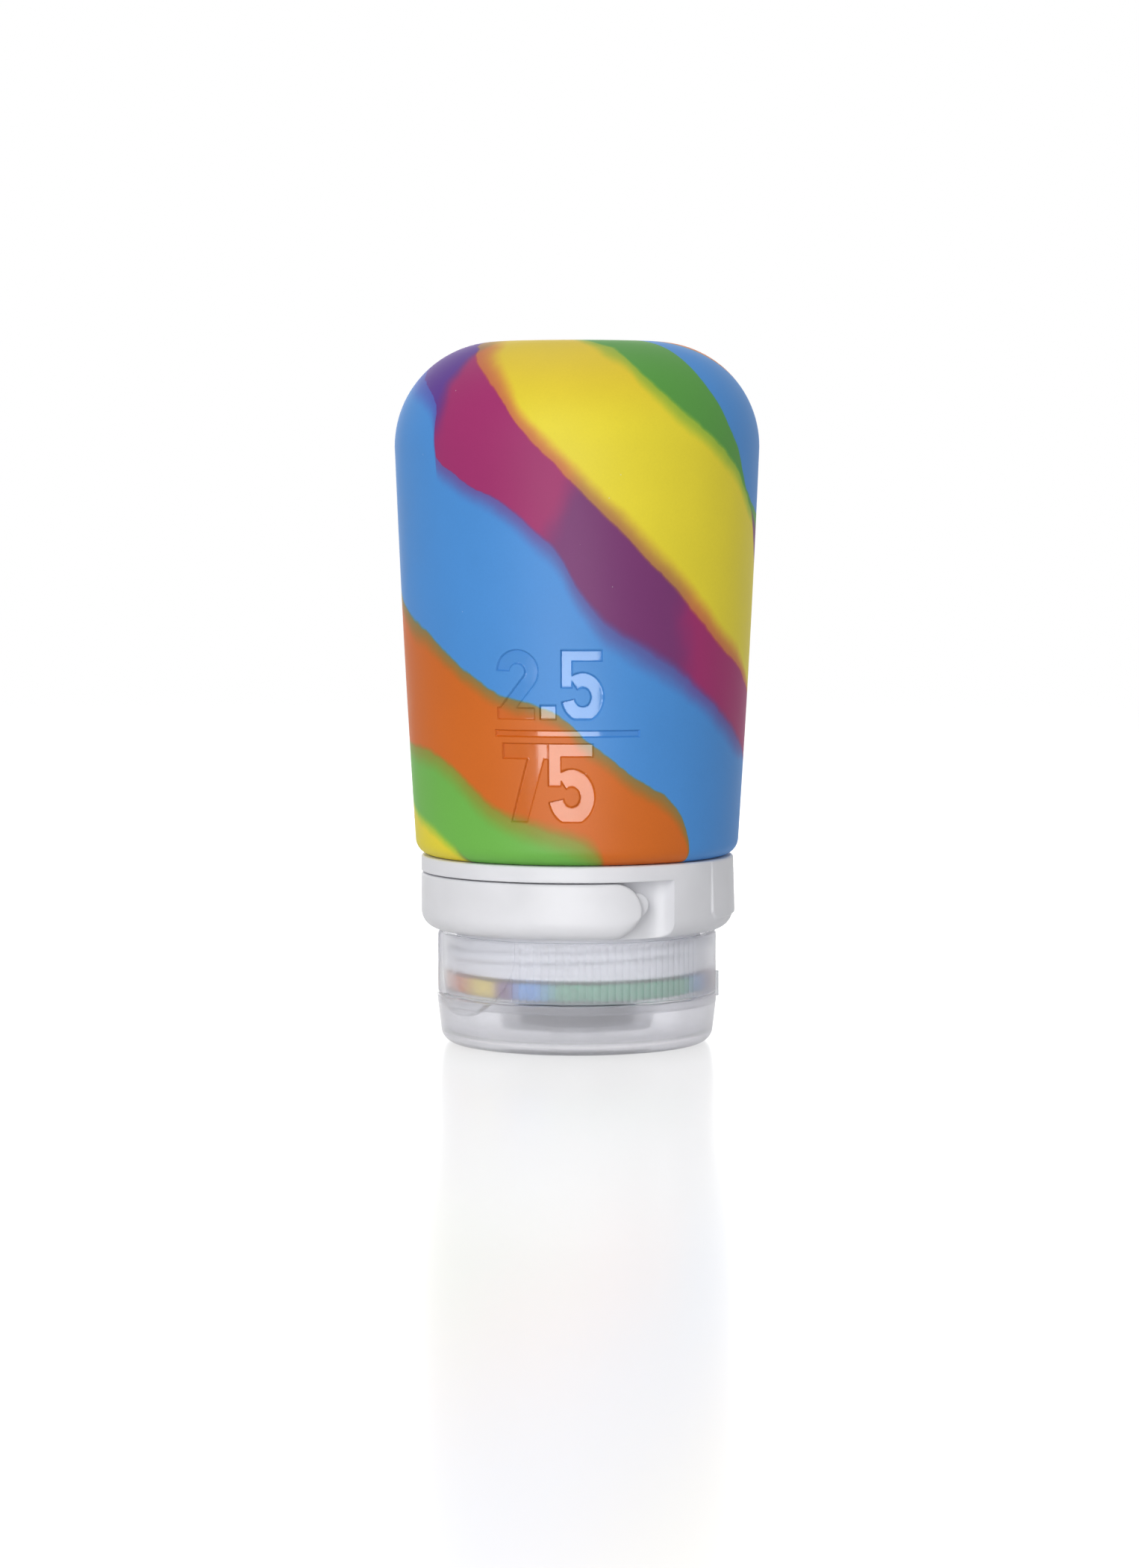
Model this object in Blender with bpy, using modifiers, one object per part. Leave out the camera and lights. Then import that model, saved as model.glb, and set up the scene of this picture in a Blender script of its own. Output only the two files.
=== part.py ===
"""Squeeze travel bottle, standing on its flip lid as it does in the photograph.

Frame: metres, +Z up, origin at the centre of the lid's flat resting face, front (the side seen in the
photograph) towards -Y. Angles called _deg run from the front towards +X, seen from above.
"""

import math

import bmesh
import bpy

MM = 0.001

# Overall fits
GAP = 0.3 * MM  # between pieces that touch on the real bottle
OVERRUN = 1.0 * MM  # how far a cutter runs past the surface that it cuts
EDGE = 0.3 * MM  # small broken edge on every moulded piece
WELD_DISTANCE = 0.001 * MM  # points nearer than this become one
ROUND_STEPS = 64
SMALL_STEPS = 32
CORNER_STEPS = 8
SHARP_DEG = 32.0

# Flip lid: a frosted shallow cup that the bottle stands on
LID_HEIGHT = 6.7 * MM
LID_OVERHANG = 0.15 * MM  # of the lid's rim beyond the cap's skirt
LID_FOOT_SHRINK = 0.55 * MM  # how much narrower the lid is where its foot's rounding begins
LID_FOOT_ROUND = 2.0 * MM
LID_FLOOR = 1.6 * MM
LID_WALL = 1.15 * MM
LID_COVE = 0.8 * MM
LID_PLUG_RADIUS = 2.8 * MM
LID_PLUG_REACH = 0.8 * MM  # how far the plug goes into the spout hole

# Screw cap: skirt, deck and the round valve housing under the lid
SKIRT_HEIGHT = 8.0 * MM
SKIRT_WALL = 1.3 * MM
FOLD_ROOM = 0.4 * MM  # round the silicone fold, at the foot of the skirt
SEAT_DEPTH = 1.6 * MM  # the step that the lid closes over
DECK_THICK = 1.3 * MM
HOUSING_WALL = 1.4 * MM
HOUSING_DRAFT = 0.25 * MM
HOUSING_AIR = 1.0 * MM  # between the housing's end and the lid's floor
SPOUT_RADIUS = 3.3 * MM
SPOUT_THICK = 1.0 * MM
SEAL_RING_WALL = 0.9 * MM
SEAL_RING_HEIGHT = 2.2 * MM

# Thumb scoop in the skirt and thumb lip on the lid, one round outline across both
THUMB_DEG = -55.0
SCOOP_RADIUS = 9.0 * MM
SCOOP_DEPTH = 0.5 * MM
LIP_DEPTH = 2.1 * MM  # how far the outline reaches below the lid's rim
LIP_PROUD = 0.5 * MM

# Drip valve and its retaining ring, inside the housing
VALVE_RADIUS = 6.3 * MM
VALVE_FLANGE = 1.1 * MM
VALVE_SKIN = 0.6 * MM
VALVE_WELL_RADIUS = 3.6 * MM
VALVE_WELL_SLOPE = 0.4 * MM
VALVE_SLIT = 0.3 * MM
VALVE_SLIT_LENGTH = 4.4 * MM
RETAINER_WALL = 1.6 * MM

# Neck of the silicone tube, folded out over the end of the threaded spigot
NECK_BORE_RADIUS = 12.3 * MM
NECK_WALL = 1.8 * MM
FOLD_THICK = 2.3 * MM
FOLD_REACH = 0.4 * MM  # beyond the spigot's outside
FOLD_ROUND = 0.7 * MM
SPIGOT_WALL = 1.6 * MM

# Screw thread
THREAD_PITCH = 3.2 * MM
THREAD_RADIUS = 0.8 * MM  # of the rounded ridge
SPIGOT_THREAD_HEIGHT = 1.0 * MM
CAP_THREAD_HEIGHT = 0.7 * MM
THREAD_CLEARANCE = 0.5 * MM  # from the spigot's crest to the skirt's bore
THREAD_TURNS = 1.0
THREAD_POINTS = 40
THREAD_FADE_SHARE = 0.08  # of the ridge's length that tapers away at each end
THREAD_START_DEG = 140.0

# Collar
COLLAR_WIDTH = 5.05 * MM  # of the ring beyond the spigot
COLLAR_HEIGHT = 9.9 * MM
COLLAR_AIR = 0.5 * MM  # between the collar's underside and the cap
COLLAR_FOOT_ROUND = 2.5 * MM
RING_HEIGHT = 2.15 * MM  # the part above the loop strap
POCKET_DEPTH = 2.55 * MM
POCKET_END_DEG = 29.0
POCKET_COVE = 3.2 * MM

# Raised grip pad on the collar's right side
PAD_DEG = 90.0
PAD_HALF_WIDTH = 11.1 * MM
PAD_HEIGHT = 7.6 * MM
PAD_DROP = 0.2 * MM  # its top edge below the collar's top
PAD_CHAMFER = 0.9 * MM
PAD_PROUD_TOP = 0.08 * MM
PAD_PROUD_FOOT = 0.28 * MM
PAD_BURY = 1.2 * MM

# Loop strap, its pin and the stud that catches its tip
LOOP_PIVOT_DEG = -150.0
LOOP_TIP_DEG = 24.2
LOOP_SWING_DEG = 100.0
KNUCKLE_RADIUS = 1.5 * MM
PIN_RADIUS = 0.6 * MM
EAR_HEIGHT = 2.7 * MM
EAR_RADIUS = 3.2 * MM
RECESS_RELIEF = 0.1 * MM  # extra room above and below the knuckle
PIN_COVER = 1.3 * MM  # of the collar left at each end of the pin
STUD_DEG = 21.6
STUD_RADIUS = 1.6 * MM
STUD_LENGTH = 1.7 * MM
STUD_RISE_SHARE = 0.62  # of the strap's height
CATCH_SKIN = 0.5 * MM  # of the strap left outside the catch slot

# Lid hinge
HINGE_DEG = 125.0
HINGE_HALF_WIDTH = 6.0 * MM
HINGE_BOSS_MARGIN = 0.3 * MM
HINGE_BOSS_SETBACK = 0.15 * MM  # of each boss from the parting line
HINGE_BAND_THICK = 0.4 * MM
HINGE_BAND_UP = 1.9 * MM
HINGE_BAND_DOWN = 1.5 * MM
CAP_BOSS_HEIGHT = 2.7 * MM
LID_BOSS_HEIGHT = 1.8 * MM

# Soft silicone tube
BODY_HEIGHT = 68.6 * MM
BODY_OVERHANG = 0.75 * MM  # of the tube's foot beyond the collar
BODY_FLARE = 2.7 * MM  # how much wider the tube is at its shoulder than at its foot
BODY_TOP_ROUND = 14.0 * MM
BODY_FOOT_ROUND = 2.2 * MM
BODY_WALL = 2.4 * MM

# Heights, from the resting face up
lid_top = LID_HEIGHT
skirt_foot = lid_top + GAP
skirt_top = skirt_foot + SKIRT_HEIGHT
deck_under = skirt_foot - SEAT_DEPTH
deck_top = deck_under + DECK_THICK
housing_end = LID_FLOOR + HOUSING_AIR
valve_seat = housing_end + SPOUT_THICK
fold_foot = deck_top + GAP
fold_top = fold_foot + FOLD_THICK
spigot_foot = fold_top + GAP
collar_foot = skirt_top + COLLAR_AIR
collar_top = collar_foot + COLLAR_HEIGHT
ring_under = collar_top - RING_HEIGHT
strap_top = ring_under - GAP
body_foot = collar_top + GAP
body_top = body_foot + BODY_HEIGHT
ear_top = collar_foot + EAR_HEIGHT
hinge_height = (lid_top + skirt_foot) / 2
thumb_middle = lid_top - LIP_DEPTH + SCOOP_RADIUS
stud_height = collar_foot + (strap_top - collar_foot) * STUD_RISE_SHARE
pin_low = collar_foot + PIN_COVER + GAP
pin_high = collar_top - PIN_COVER
spigot_thread_foot = (spigot_foot + collar_foot - THREAD_PITCH * THREAD_TURNS) / 2

# Radii that follow from fits
neck_radius = NECK_BORE_RADIUS + NECK_WALL
collar_bore = neck_radius + GAP
spigot_radius = collar_bore + SPIGOT_WALL
fold_radius = spigot_radius + FOLD_REACH
skirt_bore = spigot_radius + SPIGOT_THREAD_HEIGHT + THREAD_CLEARANCE
skirt_radius = skirt_bore + SKIRT_WALL
lid_rim_radius = skirt_radius + LID_OVERHANG
lid_bore = lid_rim_radius - LID_WALL
seat_radius = lid_bore - GAP
housing_bore = VALVE_RADIUS + GAP
housing_radius = housing_bore + HOUSING_WALL
seal_ring_radius = NECK_BORE_RADIUS - GAP
collar_radius = spigot_radius + COLLAR_WIDTH
pocket_floor = collar_radius - POCKET_DEPTH
strap_inside = pocket_floor + GAP
pivot_radius = collar_radius - KNUCKLE_RADIUS
body_foot_radius = collar_radius + BODY_OVERHANG
body_wide_radius = body_foot_radius + BODY_FLARE
recess_radius = KNUCKLE_RADIUS / math.cos(math.radians(LOOP_SWING_DEG / 2)) + GAP
pin_hole_radius = PIN_RADIUS + GAP
boss_face = skirt_radius
band_inside = boss_face + GAP
band_outside = band_inside + HINGE_BAND_THICK
hinge_radius = (band_inside + band_outside) / 2
spigot_thread_radius = spigot_radius + SPIGOT_THREAD_HEIGHT - THREAD_RADIUS
cap_thread_radius = skirt_bore - CAP_THREAD_HEIGHT + THREAD_RADIUS


def clear_scene():
    for obj in list(bpy.data.objects):
        bpy.data.objects.remove(obj, do_unlink=True)


def new_collection(name):
    collection = bpy.data.collections.new(name)
    bpy.context.scene.collection.children.link(collection)
    return collection


clear_scene()
PARTS = new_collection("travel_bottle")
CUTTERS = new_collection("travel_bottle_cutters")


# Small helpers for places and outlines


def around(radius, degrees, height=0.0):
    """A point at a radius and an angle from the front, seen from above."""
    angle = math.radians(degrees)
    return (radius * math.sin(angle), -radius * math.cos(angle), height)


pivot_place = around(pivot_radius, LOOP_PIVOT_DEG)  # of the loop strap's pin, seen from above


def arc(middle_r, middle_z, radius, start_deg, end_deg, steps=CORNER_STEPS):
    """Profile points on an arc; 90 is up and 0 is outwards."""
    points = []
    for k in range(steps + 1):
        angle = math.radians(start_deg + (end_deg - start_deg) * k / steps)
        points.append((middle_r + radius * math.cos(angle), middle_z + radius * math.sin(angle)))
    return points


def link_mesh(name, bm, collection):
    mesh = bpy.data.meshes.new(name)
    bm.to_mesh(mesh)
    bm.free()
    obj = bpy.data.objects.new(name, mesh)
    collection.objects.link(obj)
    if collection == CUTTERS:
        as_cutter(obj)
    return obj


def as_cutter(obj):
    obj.hide_render = True
    obj.display_type = "WIRE"


# Makers of shapes


def turned(name, profile, collection, ring=False, steps=ROUND_STEPS):
    """Turns a profile of (radius, height) about the bottle's axis; it runs down its outer side."""
    bm = bmesh.new()
    verts = [bm.verts.new((r, 0.0, z)) for r, z in profile]
    ends = verts[1:] + verts[:1] if ring else verts[1:]
    for a, b in zip(verts, ends):
        bm.edges.new((a, b))
    obj = link_mesh(name, bm, collection)
    screw = obj.modifiers.new("turn", "SCREW")
    screw.angle = math.tau
    screw.steps = steps
    screw.render_steps = steps
    screw.use_merge_vertices = True
    screw.merge_threshold = WELD_DISTANCE
    screw.use_smooth_shade = True
    return obj


def rod(name, radius, low, high, place=(0.0, 0.0), steps=SMALL_STEPS, collection=CUTTERS):
    """An upright round rod between two heights."""
    bm = bmesh.new()
    bmesh.ops.create_cone(
        bm, cap_ends=True, segments=steps, radius1=radius, radius2=radius, depth=high - low
    )
    obj = link_mesh(name, bm, collection)
    obj.location = (place[0], place[1], (low + high) / 2)
    return obj


def block(name, size, centre, turn_deg=0.0, bevel=0.0, collection=CUTTERS):
    """A box, turned about the upright, with its edges broken by bevel where one is given."""
    bm = bmesh.new()
    bmesh.ops.create_cube(bm, size=1.0)
    bmesh.ops.scale(bm, vec=size, verts=bm.verts)
    if bevel:
        bmesh.ops.bevel(bm, geom=bm.edges, offset=bevel, segments=1, affect="EDGES")
    obj = link_mesh(name, bm, collection)
    obj.location = centre
    obj.rotation_euler = (0.0, 0.0, math.radians(turn_deg))
    return obj


def mesh_from_curve(name, curve_obj):
    """The curve's shape as a welded mesh object; the curve is removed."""
    bpy.context.view_layer.update()
    shape = curve_obj.evaluated_get(bpy.context.evaluated_depsgraph_get())
    mesh = bpy.data.meshes.new_from_object(shape)
    bm = bmesh.new()
    bm.from_mesh(mesh)
    bmesh.ops.remove_doubles(bm, verts=bm.verts, dist=WELD_DISTANCE)
    bmesh.ops.recalc_face_normals(bm, faces=bm.faces)
    bpy.data.meshes.remove(mesh)
    obj = link_mesh(name, bm, CUTTERS)
    obj.matrix_world = curve_obj.matrix_world.copy()
    bpy.data.objects.remove(curve_obj, do_unlink=True)
    return obj


def new_curve(name, points, dimensions, cyclic, radii=None):
    curve = bpy.data.curves.new(name, "CURVE")
    curve.dimensions = dimensions
    spline = curve.splines.new("POLY")
    spline.points.add(len(points) - 1)
    for k, point in enumerate(points):
        spline.points[k].co = (point[0], point[1], point[2] if len(point) > 2 else 0.0, 1.0)
        if radii:
            spline.points[k].radius = radii[k]
    spline.use_cyclic_u = cyclic
    obj = bpy.data.objects.new(name + "_curve", curve)
    CUTTERS.objects.link(obj)
    return obj


def upright_prism(name, outline, low, high):
    """A flat outline seen from above, between two heights."""
    obj = new_curve(name, outline, "2D", True)
    obj.data.fill_mode = "BOTH"
    obj.data.extrude = (high - low) / 2
    obj.location = (0.0, 0.0, (low + high) / 2)
    return mesh_from_curve(name, obj)


def radial_prism(name, outline, degrees, inner, outer):
    """A flat outline seen from outside, as (sideways, height), between two distances from the axis."""
    obj = new_curve(name, outline, "2D", True)
    obj.data.fill_mode = "BOTH"
    obj.data.extrude = (outer - inner) / 2
    obj.rotation_euler = (math.pi / 2, 0.0, math.radians(degrees))
    obj.location = around((inner + outer) / 2, degrees)
    return mesh_from_curve(name, obj)


def circle_outline(radius, middle_height, steps=SMALL_STEPS * 2):
    return [
        (radius * math.sin(math.tau * k / steps), middle_height - radius * math.cos(math.tau * k / steps))
        for k in range(steps)
    ]


def sector_outline(start_deg, end_deg, radius, steps=CORNER_STEPS * 2):
    """A slice of a disc, seen from above, from the axis out to a radius."""
    points = [(0.0, 0.0)]
    for k in range(steps + 1):
        x, y, _ = around(radius, start_deg + (end_deg - start_deg) * k / steps)
        points.append((x, y))
    return points


def thread_ridge(name, radius, foot, start_deg):
    """A rounded right-hand ridge that fades away at both ends."""
    points, radii = [], []
    for k in range(THREAD_POINTS + 1):
        share = k / THREAD_POINTS
        turn = share * THREAD_TURNS
        # angles from the front grow the right-hand way, seen from above
        points.append(around(radius, start_deg + math.degrees(turn * math.tau), foot + turn * THREAD_PITCH))
        fade = min(share, 1 - share) / THREAD_FADE_SHARE
        radii.append(max(math.sqrt(min(fade, 1.0)), THREAD_FADE_SHARE))
    obj = new_curve(name, points, "3D", False, radii)
    obj.data.bevel_depth = THREAD_RADIUS
    obj.data.bevel_resolution = 1
    obj.data.use_fill_caps = True
    return mesh_from_curve(name, obj)


def combine(obj, tool, operation):
    step = obj.modifiers.new(operation.lower() + "_" + tool.name, "BOOLEAN")
    step.operation = operation
    step.object = tool
    return obj


def cut(obj, tool):
    return combine(obj, tool, "DIFFERENCE")


def join(obj, tool):
    return combine(obj, tool, "UNION")


def keep_inside(obj, tool):
    return combine(obj, tool, "INTERSECT")


def finish(obj, colour, roughness, clear=0.0):
    """Settles the modifiers, shades the round faces smooth and gives the piece its own material."""
    bpy.context.view_layer.update()
    shape = obj.evaluated_get(bpy.context.evaluated_depsgraph_get())
    mesh = bpy.data.meshes.new_from_object(shape)
    bm = bmesh.new()
    bm.from_mesh(mesh)
    bmesh.ops.remove_doubles(bm, verts=bm.verts, dist=WELD_DISTANCE)
    bm.to_mesh(mesh)
    bm.free()
    obj.modifiers.clear()
    obj.data = mesh
    mesh.name = obj.name
    mesh.shade_smooth()
    mesh.set_sharp_from_angle(angle=math.radians(SHARP_DEG))
    material = bpy.data.materials.new(obj.name + "_material")
    material.use_nodes = True
    shader = material.node_tree.nodes["Principled BSDF"]
    shader.inputs["Base Color"].default_value = (*colour, 1.0)
    shader.inputs["Roughness"].default_value = roughness
    shader.inputs["Metallic"].default_value = 0.0
    shader.inputs["Transmission Weight"].default_value = clear
    mesh.materials.clear()
    mesh.materials.append(material)
    return obj


def axis_empty(name, place):
    empty = bpy.data.objects.new(name, None)
    empty.empty_display_size = SKIRT_HEIGHT
    PARTS.objects.link(empty)
    empty.location = place
    return empty


def carry(obj, empty):
    """Hangs a piece on the empty that stands on its joint's axis, without moving it."""
    obj.parent = empty
    obj.location = obj.location - empty.location
    return obj


# The pieces, from the tube down to the lid


def silicone_body():
    """One soft moulding: closed tube, neck through the collar, and the lip folded over the spigot."""
    shoulder_z = body_top - BODY_TOP_ROUND
    outside = [(0.0, body_top)]
    outside += arc(body_wide_radius - BODY_TOP_ROUND, shoulder_z, BODY_TOP_ROUND, 90, 0)
    outside += arc(
        body_foot_radius - BODY_FOOT_ROUND, body_foot + BODY_FOOT_ROUND, BODY_FOOT_ROUND, 0, -90, 4
    )
    neck = [
        (neck_radius, body_foot),
        (neck_radius, fold_top),
        (fold_radius - EDGE, fold_top),
        (fold_radius, fold_top - EDGE),
    ]
    neck += arc(fold_radius - FOLD_ROUND, fold_foot + FOLD_ROUND, FOLD_ROUND, 0, -90, 3)
    neck += [
        (NECK_BORE_RADIUS + EDGE, fold_foot),
        (NECK_BORE_RADIUS, fold_foot + EDGE),
        (NECK_BORE_RADIUS, body_foot + BODY_WALL),
    ]
    inner_round = BODY_TOP_ROUND - BODY_WALL
    inner_foot_z = body_foot + BODY_WALL + BODY_FOOT_ROUND
    inside = [
        (body_foot_radius - BODY_WALL - BODY_FOOT_ROUND, body_foot + BODY_WALL),
        (body_foot_radius - BODY_WALL, inner_foot_z),
    ]
    inside += arc(body_wide_radius - BODY_TOP_ROUND, shoulder_z, inner_round, 0, 90, 6)
    inside += [(0.0, body_top - BODY_WALL)]
    body = turned("silicone_body", outside + neck + inside, PARTS)
    return finish(body, (0.08, 0.26, 0.62), 0.55)


def collar():
    """Rigid white ring with a pocket for the loop strap, and the threaded spigot below it."""
    profile = [(collar_radius - EDGE, collar_top), (collar_radius, collar_top - EDGE)]
    profile += arc(
        collar_radius - COLLAR_FOOT_ROUND, collar_foot + COLLAR_FOOT_ROUND, COLLAR_FOOT_ROUND, 0, -90, 6
    )
    profile += [
        (spigot_radius, collar_foot),
        (spigot_radius, spigot_foot + EDGE),
        (spigot_radius - EDGE, spigot_foot),
        (collar_bore, spigot_foot),
        (collar_bore, collar_top),
    ]
    ring = turned("collar", profile, PARTS, ring=True)
    cut(ring, strap_pocket())
    cut(ring, knuckle_recess())
    cut(ring, rod("pin_hole", pin_hole_radius, pin_low - GAP, pin_high + GAP, pivot_place))
    join(ring, grip_pad())
    join(ring, latch_stud())
    join(ring, thread_ridge("spigot_thread", spigot_thread_radius, spigot_thread_foot, THREAD_START_DEG))
    return finish(ring, (0.8, 0.8, 0.83), 0.35)


def ring_band(name, inner, outer_top, outer_foot, low, high):
    """A plain turned band, leaning where its top and foot radii differ."""
    return turned(
        name, [(outer_top, high), (outer_foot, low), (inner, low), (inner, high)], CUTTERS, ring=True
    )


def strap_pocket():
    """Open-bottomed pocket: from the pivot round to a cove at the front, with a round ear left on."""
    low = collar_foot - OVERRUN
    floor_steps = ROUND_STEPS // 2
    sweep = POCKET_END_DEG - LOOP_PIVOT_DEG
    outline = [around(collar_radius + 2 * OVERRUN, LOOP_PIVOT_DEG)]
    for k in range(floor_steps + 1):
        outline.append(around(pocket_floor, LOOP_PIVOT_DEG + sweep * k / floor_steps))
    middle_x, middle_y, _ = around(pocket_floor + POCKET_COVE, POCKET_END_DEG)
    for k in range(1, CORNER_STEPS + 1):
        x, y, _ = around(-POCKET_COVE, POCKET_END_DEG - 90.0 * k / CORNER_STEPS)
        outline.append((middle_x + x, middle_y + y))
    outline += [around(collar_radius + POCKET_COVE, POCKET_END_DEG)]
    for k in range(1, floor_steps):
        outline.append(around(collar_radius + 2 * OVERRUN, POCKET_END_DEG - sweep * k / floor_steps))
    pocket = upright_prism("strap_pocket", outline, low, ring_under)
    cut(pocket, rod("ear_round", EAR_RADIUS, low - OVERRUN, ear_top, pivot_place))
    return pocket


def knuckle_recess():
    """Room about the pin for the strap's knuckle, and for its arm when it is swung right out."""
    low = ear_top - RECESS_RELIEF
    return rod("knuckle_recess", recess_radius, low, ring_under + RECESS_RELIEF, pivot_place)


def grip_pad():
    """Slightly raised pad on the right, leaning outwards towards its foot, with clipped lower corners."""
    high = collar_top - PAD_DROP
    low = high - PAD_HEIGHT
    band = ring_band(
        "grip_pad",
        collar_radius - PAD_BURY,
        collar_radius + PAD_PROUD_TOP,
        collar_radius + PAD_PROUD_FOOT,
        low,
        high,
    )
    wide = PAD_HALF_WIDTH
    outline = [
        (-wide, high + OVERRUN),
        (-wide, low + PAD_CHAMFER),
        (-wide + PAD_CHAMFER, low - EDGE),
        (wide - PAD_CHAMFER, low - EDGE),
        (wide, low + PAD_CHAMFER),
        (wide, high + OVERRUN),
    ]
    outer = collar_radius + OVERRUN
    keep_inside(band, radial_prism("pad_outline", outline, PAD_DEG, outer - PAD_HALF_WIDTH, outer))
    return band


def latch_stud():
    """Round stud that stands out of the pocket's floor and holds the strap's tip."""
    return radial_prism(
        "latch_stud",
        circle_outline(STUD_RADIUS, stud_height, SMALL_STEPS // 2),
        STUD_DEG,
        pocket_floor - OVERRUN,
        pocket_floor + STUD_LENGTH,
    )


def loop_strap():
    """Stiff curved strap that swings out on its pin, so that the bottle can hang."""
    round_middle = collar_radius - COLLAR_FOOT_ROUND
    inside_share = min(max((strap_inside - round_middle) / COLLAR_FOOT_ROUND, 0.0), 1.0)
    foot_end_deg = -math.degrees(math.acos(inside_share))
    profile = [(collar_radius - EDGE, strap_top), (collar_radius, strap_top - EDGE)]
    profile += arc(
        round_middle, collar_foot + COLLAR_FOOT_ROUND, COLLAR_FOOT_ROUND, 0, foot_end_deg, 6
    )
    profile += [(strap_inside, strap_top)]
    strap = turned("loop_strap", profile, PARTS, ring=True)
    reach = collar_radius + OVERRUN
    low = collar_foot - OVERRUN
    outline = sector_outline(LOOP_PIVOT_DEG, LOOP_TIP_DEG, reach)
    keep_inside(strap, upright_prism("strap_slice", outline, low, strap_top + OVERRUN))
    knuckle_low = ear_top + GAP
    join(strap, rod("knuckle", KNUCKLE_RADIUS, knuckle_low, strap_top, pivot_place))
    cut(strap, rod("ear_room", EAR_RADIUS + GAP, low, knuckle_low, pivot_place))
    cut(strap, rod("knuckle_hole", pin_hole_radius, low, strap_top + OVERRUN, pivot_place))
    cut(strap, tip_corners())
    cut(strap, catch_slot())
    return carry(finish(strap, (0.82, 0.82, 0.84), 0.38), loop_axis)


def tip_corners():
    """What is trimmed off the strap's end to leave a round tip."""
    half = (strap_top - collar_foot) / 2
    middle = collar_foot + half
    turn = math.degrees(math.asin(half / collar_radius))
    corners = radial_prism(
        "tip_corners",
        [
            (0.0, middle - half - OVERRUN),
            (half + OVERRUN, middle - half - OVERRUN),
            (half + OVERRUN, middle + half + OVERRUN),
            (0.0, middle + half + OVERRUN),
        ],
        LOOP_TIP_DEG - turn,
        pocket_floor - OVERRUN,
        collar_radius + OVERRUN,
    )
    cut(
        corners,
        radial_prism(
            "tip_round",
            circle_outline(half, middle),
            LOOP_TIP_DEG - turn,
            pocket_floor - 2 * OVERRUN,
            collar_radius + 2 * OVERRUN,
        ),
    )
    return corners


def catch_slot():
    """Slot in the strap's inner face, open at the tip, that slides over the stud."""
    room = STUD_RADIUS + GAP
    mouth = room + OVERRUN + POCKET_COVE
    outline = [(mouth, stud_height - room), (mouth, stud_height + room)]
    for k in range(CORNER_STEPS + 1):
        angle = math.pi / 2 + math.pi * k / CORNER_STEPS
        outline.append((room * math.cos(angle), stud_height + room * math.sin(angle)))
    return radial_prism(
        "catch_slot", outline, STUD_DEG, pocket_floor - OVERRUN, collar_radius - CATCH_SKIN
    )


def loop_pin():
    """Plain metal pin held in the collar above and below the strap's knuckle."""
    pin = rod("loop_pin", PIN_RADIUS, pin_low, pin_high, pivot_place, SMALL_STEPS // 2, PARTS)
    return finish(pin, (0.6, 0.6, 0.62), 0.3)


def screw_cap():
    """Frosted cap: threaded skirt, deck and the housing that holds the drip valve."""
    outside = [
        (0.0, skirt_top),
        (skirt_radius - EDGE, skirt_top),
        (skirt_radius, skirt_top - EDGE),
        (skirt_radius, skirt_foot),
        (seat_radius, skirt_foot),
        (seat_radius, deck_under + EDGE),
        (seat_radius - EDGE, deck_under),
        (housing_radius, deck_under),
        (housing_radius - HOUSING_DRAFT, housing_end + EDGE),
        (housing_radius - HOUSING_DRAFT - EDGE, housing_end),
        (0.0, housing_end),
    ]
    cap = turned("screw_cap", outside, PARTS)
    boss_foot = skirt_foot + HINGE_BOSS_SETBACK
    join(cap, hinge_boss("cap_hinge_boss", boss_foot, boss_foot + CAP_BOSS_HEIGHT))
    seal_inside = seal_ring_radius - SEAL_RING_WALL
    hollow = [
        (0.0, skirt_top + OVERRUN),
        (skirt_bore, skirt_top + OVERRUN),
        (skirt_bore, spigot_foot),
        (fold_radius + FOLD_ROOM, fold_top),
        (fold_radius + FOLD_ROOM, deck_top),
        (seal_ring_radius, deck_top),
        (seal_ring_radius, deck_top + SEAL_RING_HEIGHT),
        (seal_inside, deck_top + SEAL_RING_HEIGHT),
        (seal_inside, deck_top),
        (housing_bore, deck_top),
        (housing_bore, valve_seat),
        (SPOUT_RADIUS, valve_seat),
        (SPOUT_RADIUS, housing_end - OVERRUN),
        (0.0, housing_end - OVERRUN),
    ]
    cut(cap, turned("cap_hollow", hollow, CUTTERS))
    start = THREAD_START_DEG - 180.0
    join(cap, thread_ridge("cap_thread", cap_thread_radius, spigot_thread_foot, start))
    cut(cap, thumb_scoop())
    return carry(finish(cap, (0.72, 0.74, 0.78), 0.45, 0.6), turn_axis)


def hinge_boss(name, low, high):
    """Flat-faced block on the back right that one end of the hinge band is moulded to."""
    depth = boss_face - seat_radius + SKIRT_WALL
    wide = 2 * (HINGE_HALF_WIDTH + HINGE_BOSS_MARGIN)
    middle = around(boss_face - depth / 2, HINGE_DEG, (low + high) / 2)
    return block(name, (wide, depth, high - low), middle, HINGE_DEG, EDGE)


def thumb_scoop():
    """Shallow round recess, open at the skirt's top, where a thumb comes down onto the lid's lip."""
    reach = skirt_radius + OVERRUN
    floor = skirt_radius - SCOOP_DEPTH
    scoop = ring_band("thumb_scoop", floor, reach, reach, skirt_foot - OVERRUN, skirt_top + OVERRUN)
    # half a facet round, so that the cutter's edges never lie along the skirt's
    scoop.rotation_euler = (0.0, 0.0, math.pi / ROUND_STEPS)
    outline = circle_outline(SCOOP_RADIUS, thumb_middle)
    keep_inside(scoop, radial_prism("scoop_outline", outline, THUMB_DEG, SCOOP_RADIUS, reach + OVERRUN))
    return scoop


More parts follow.
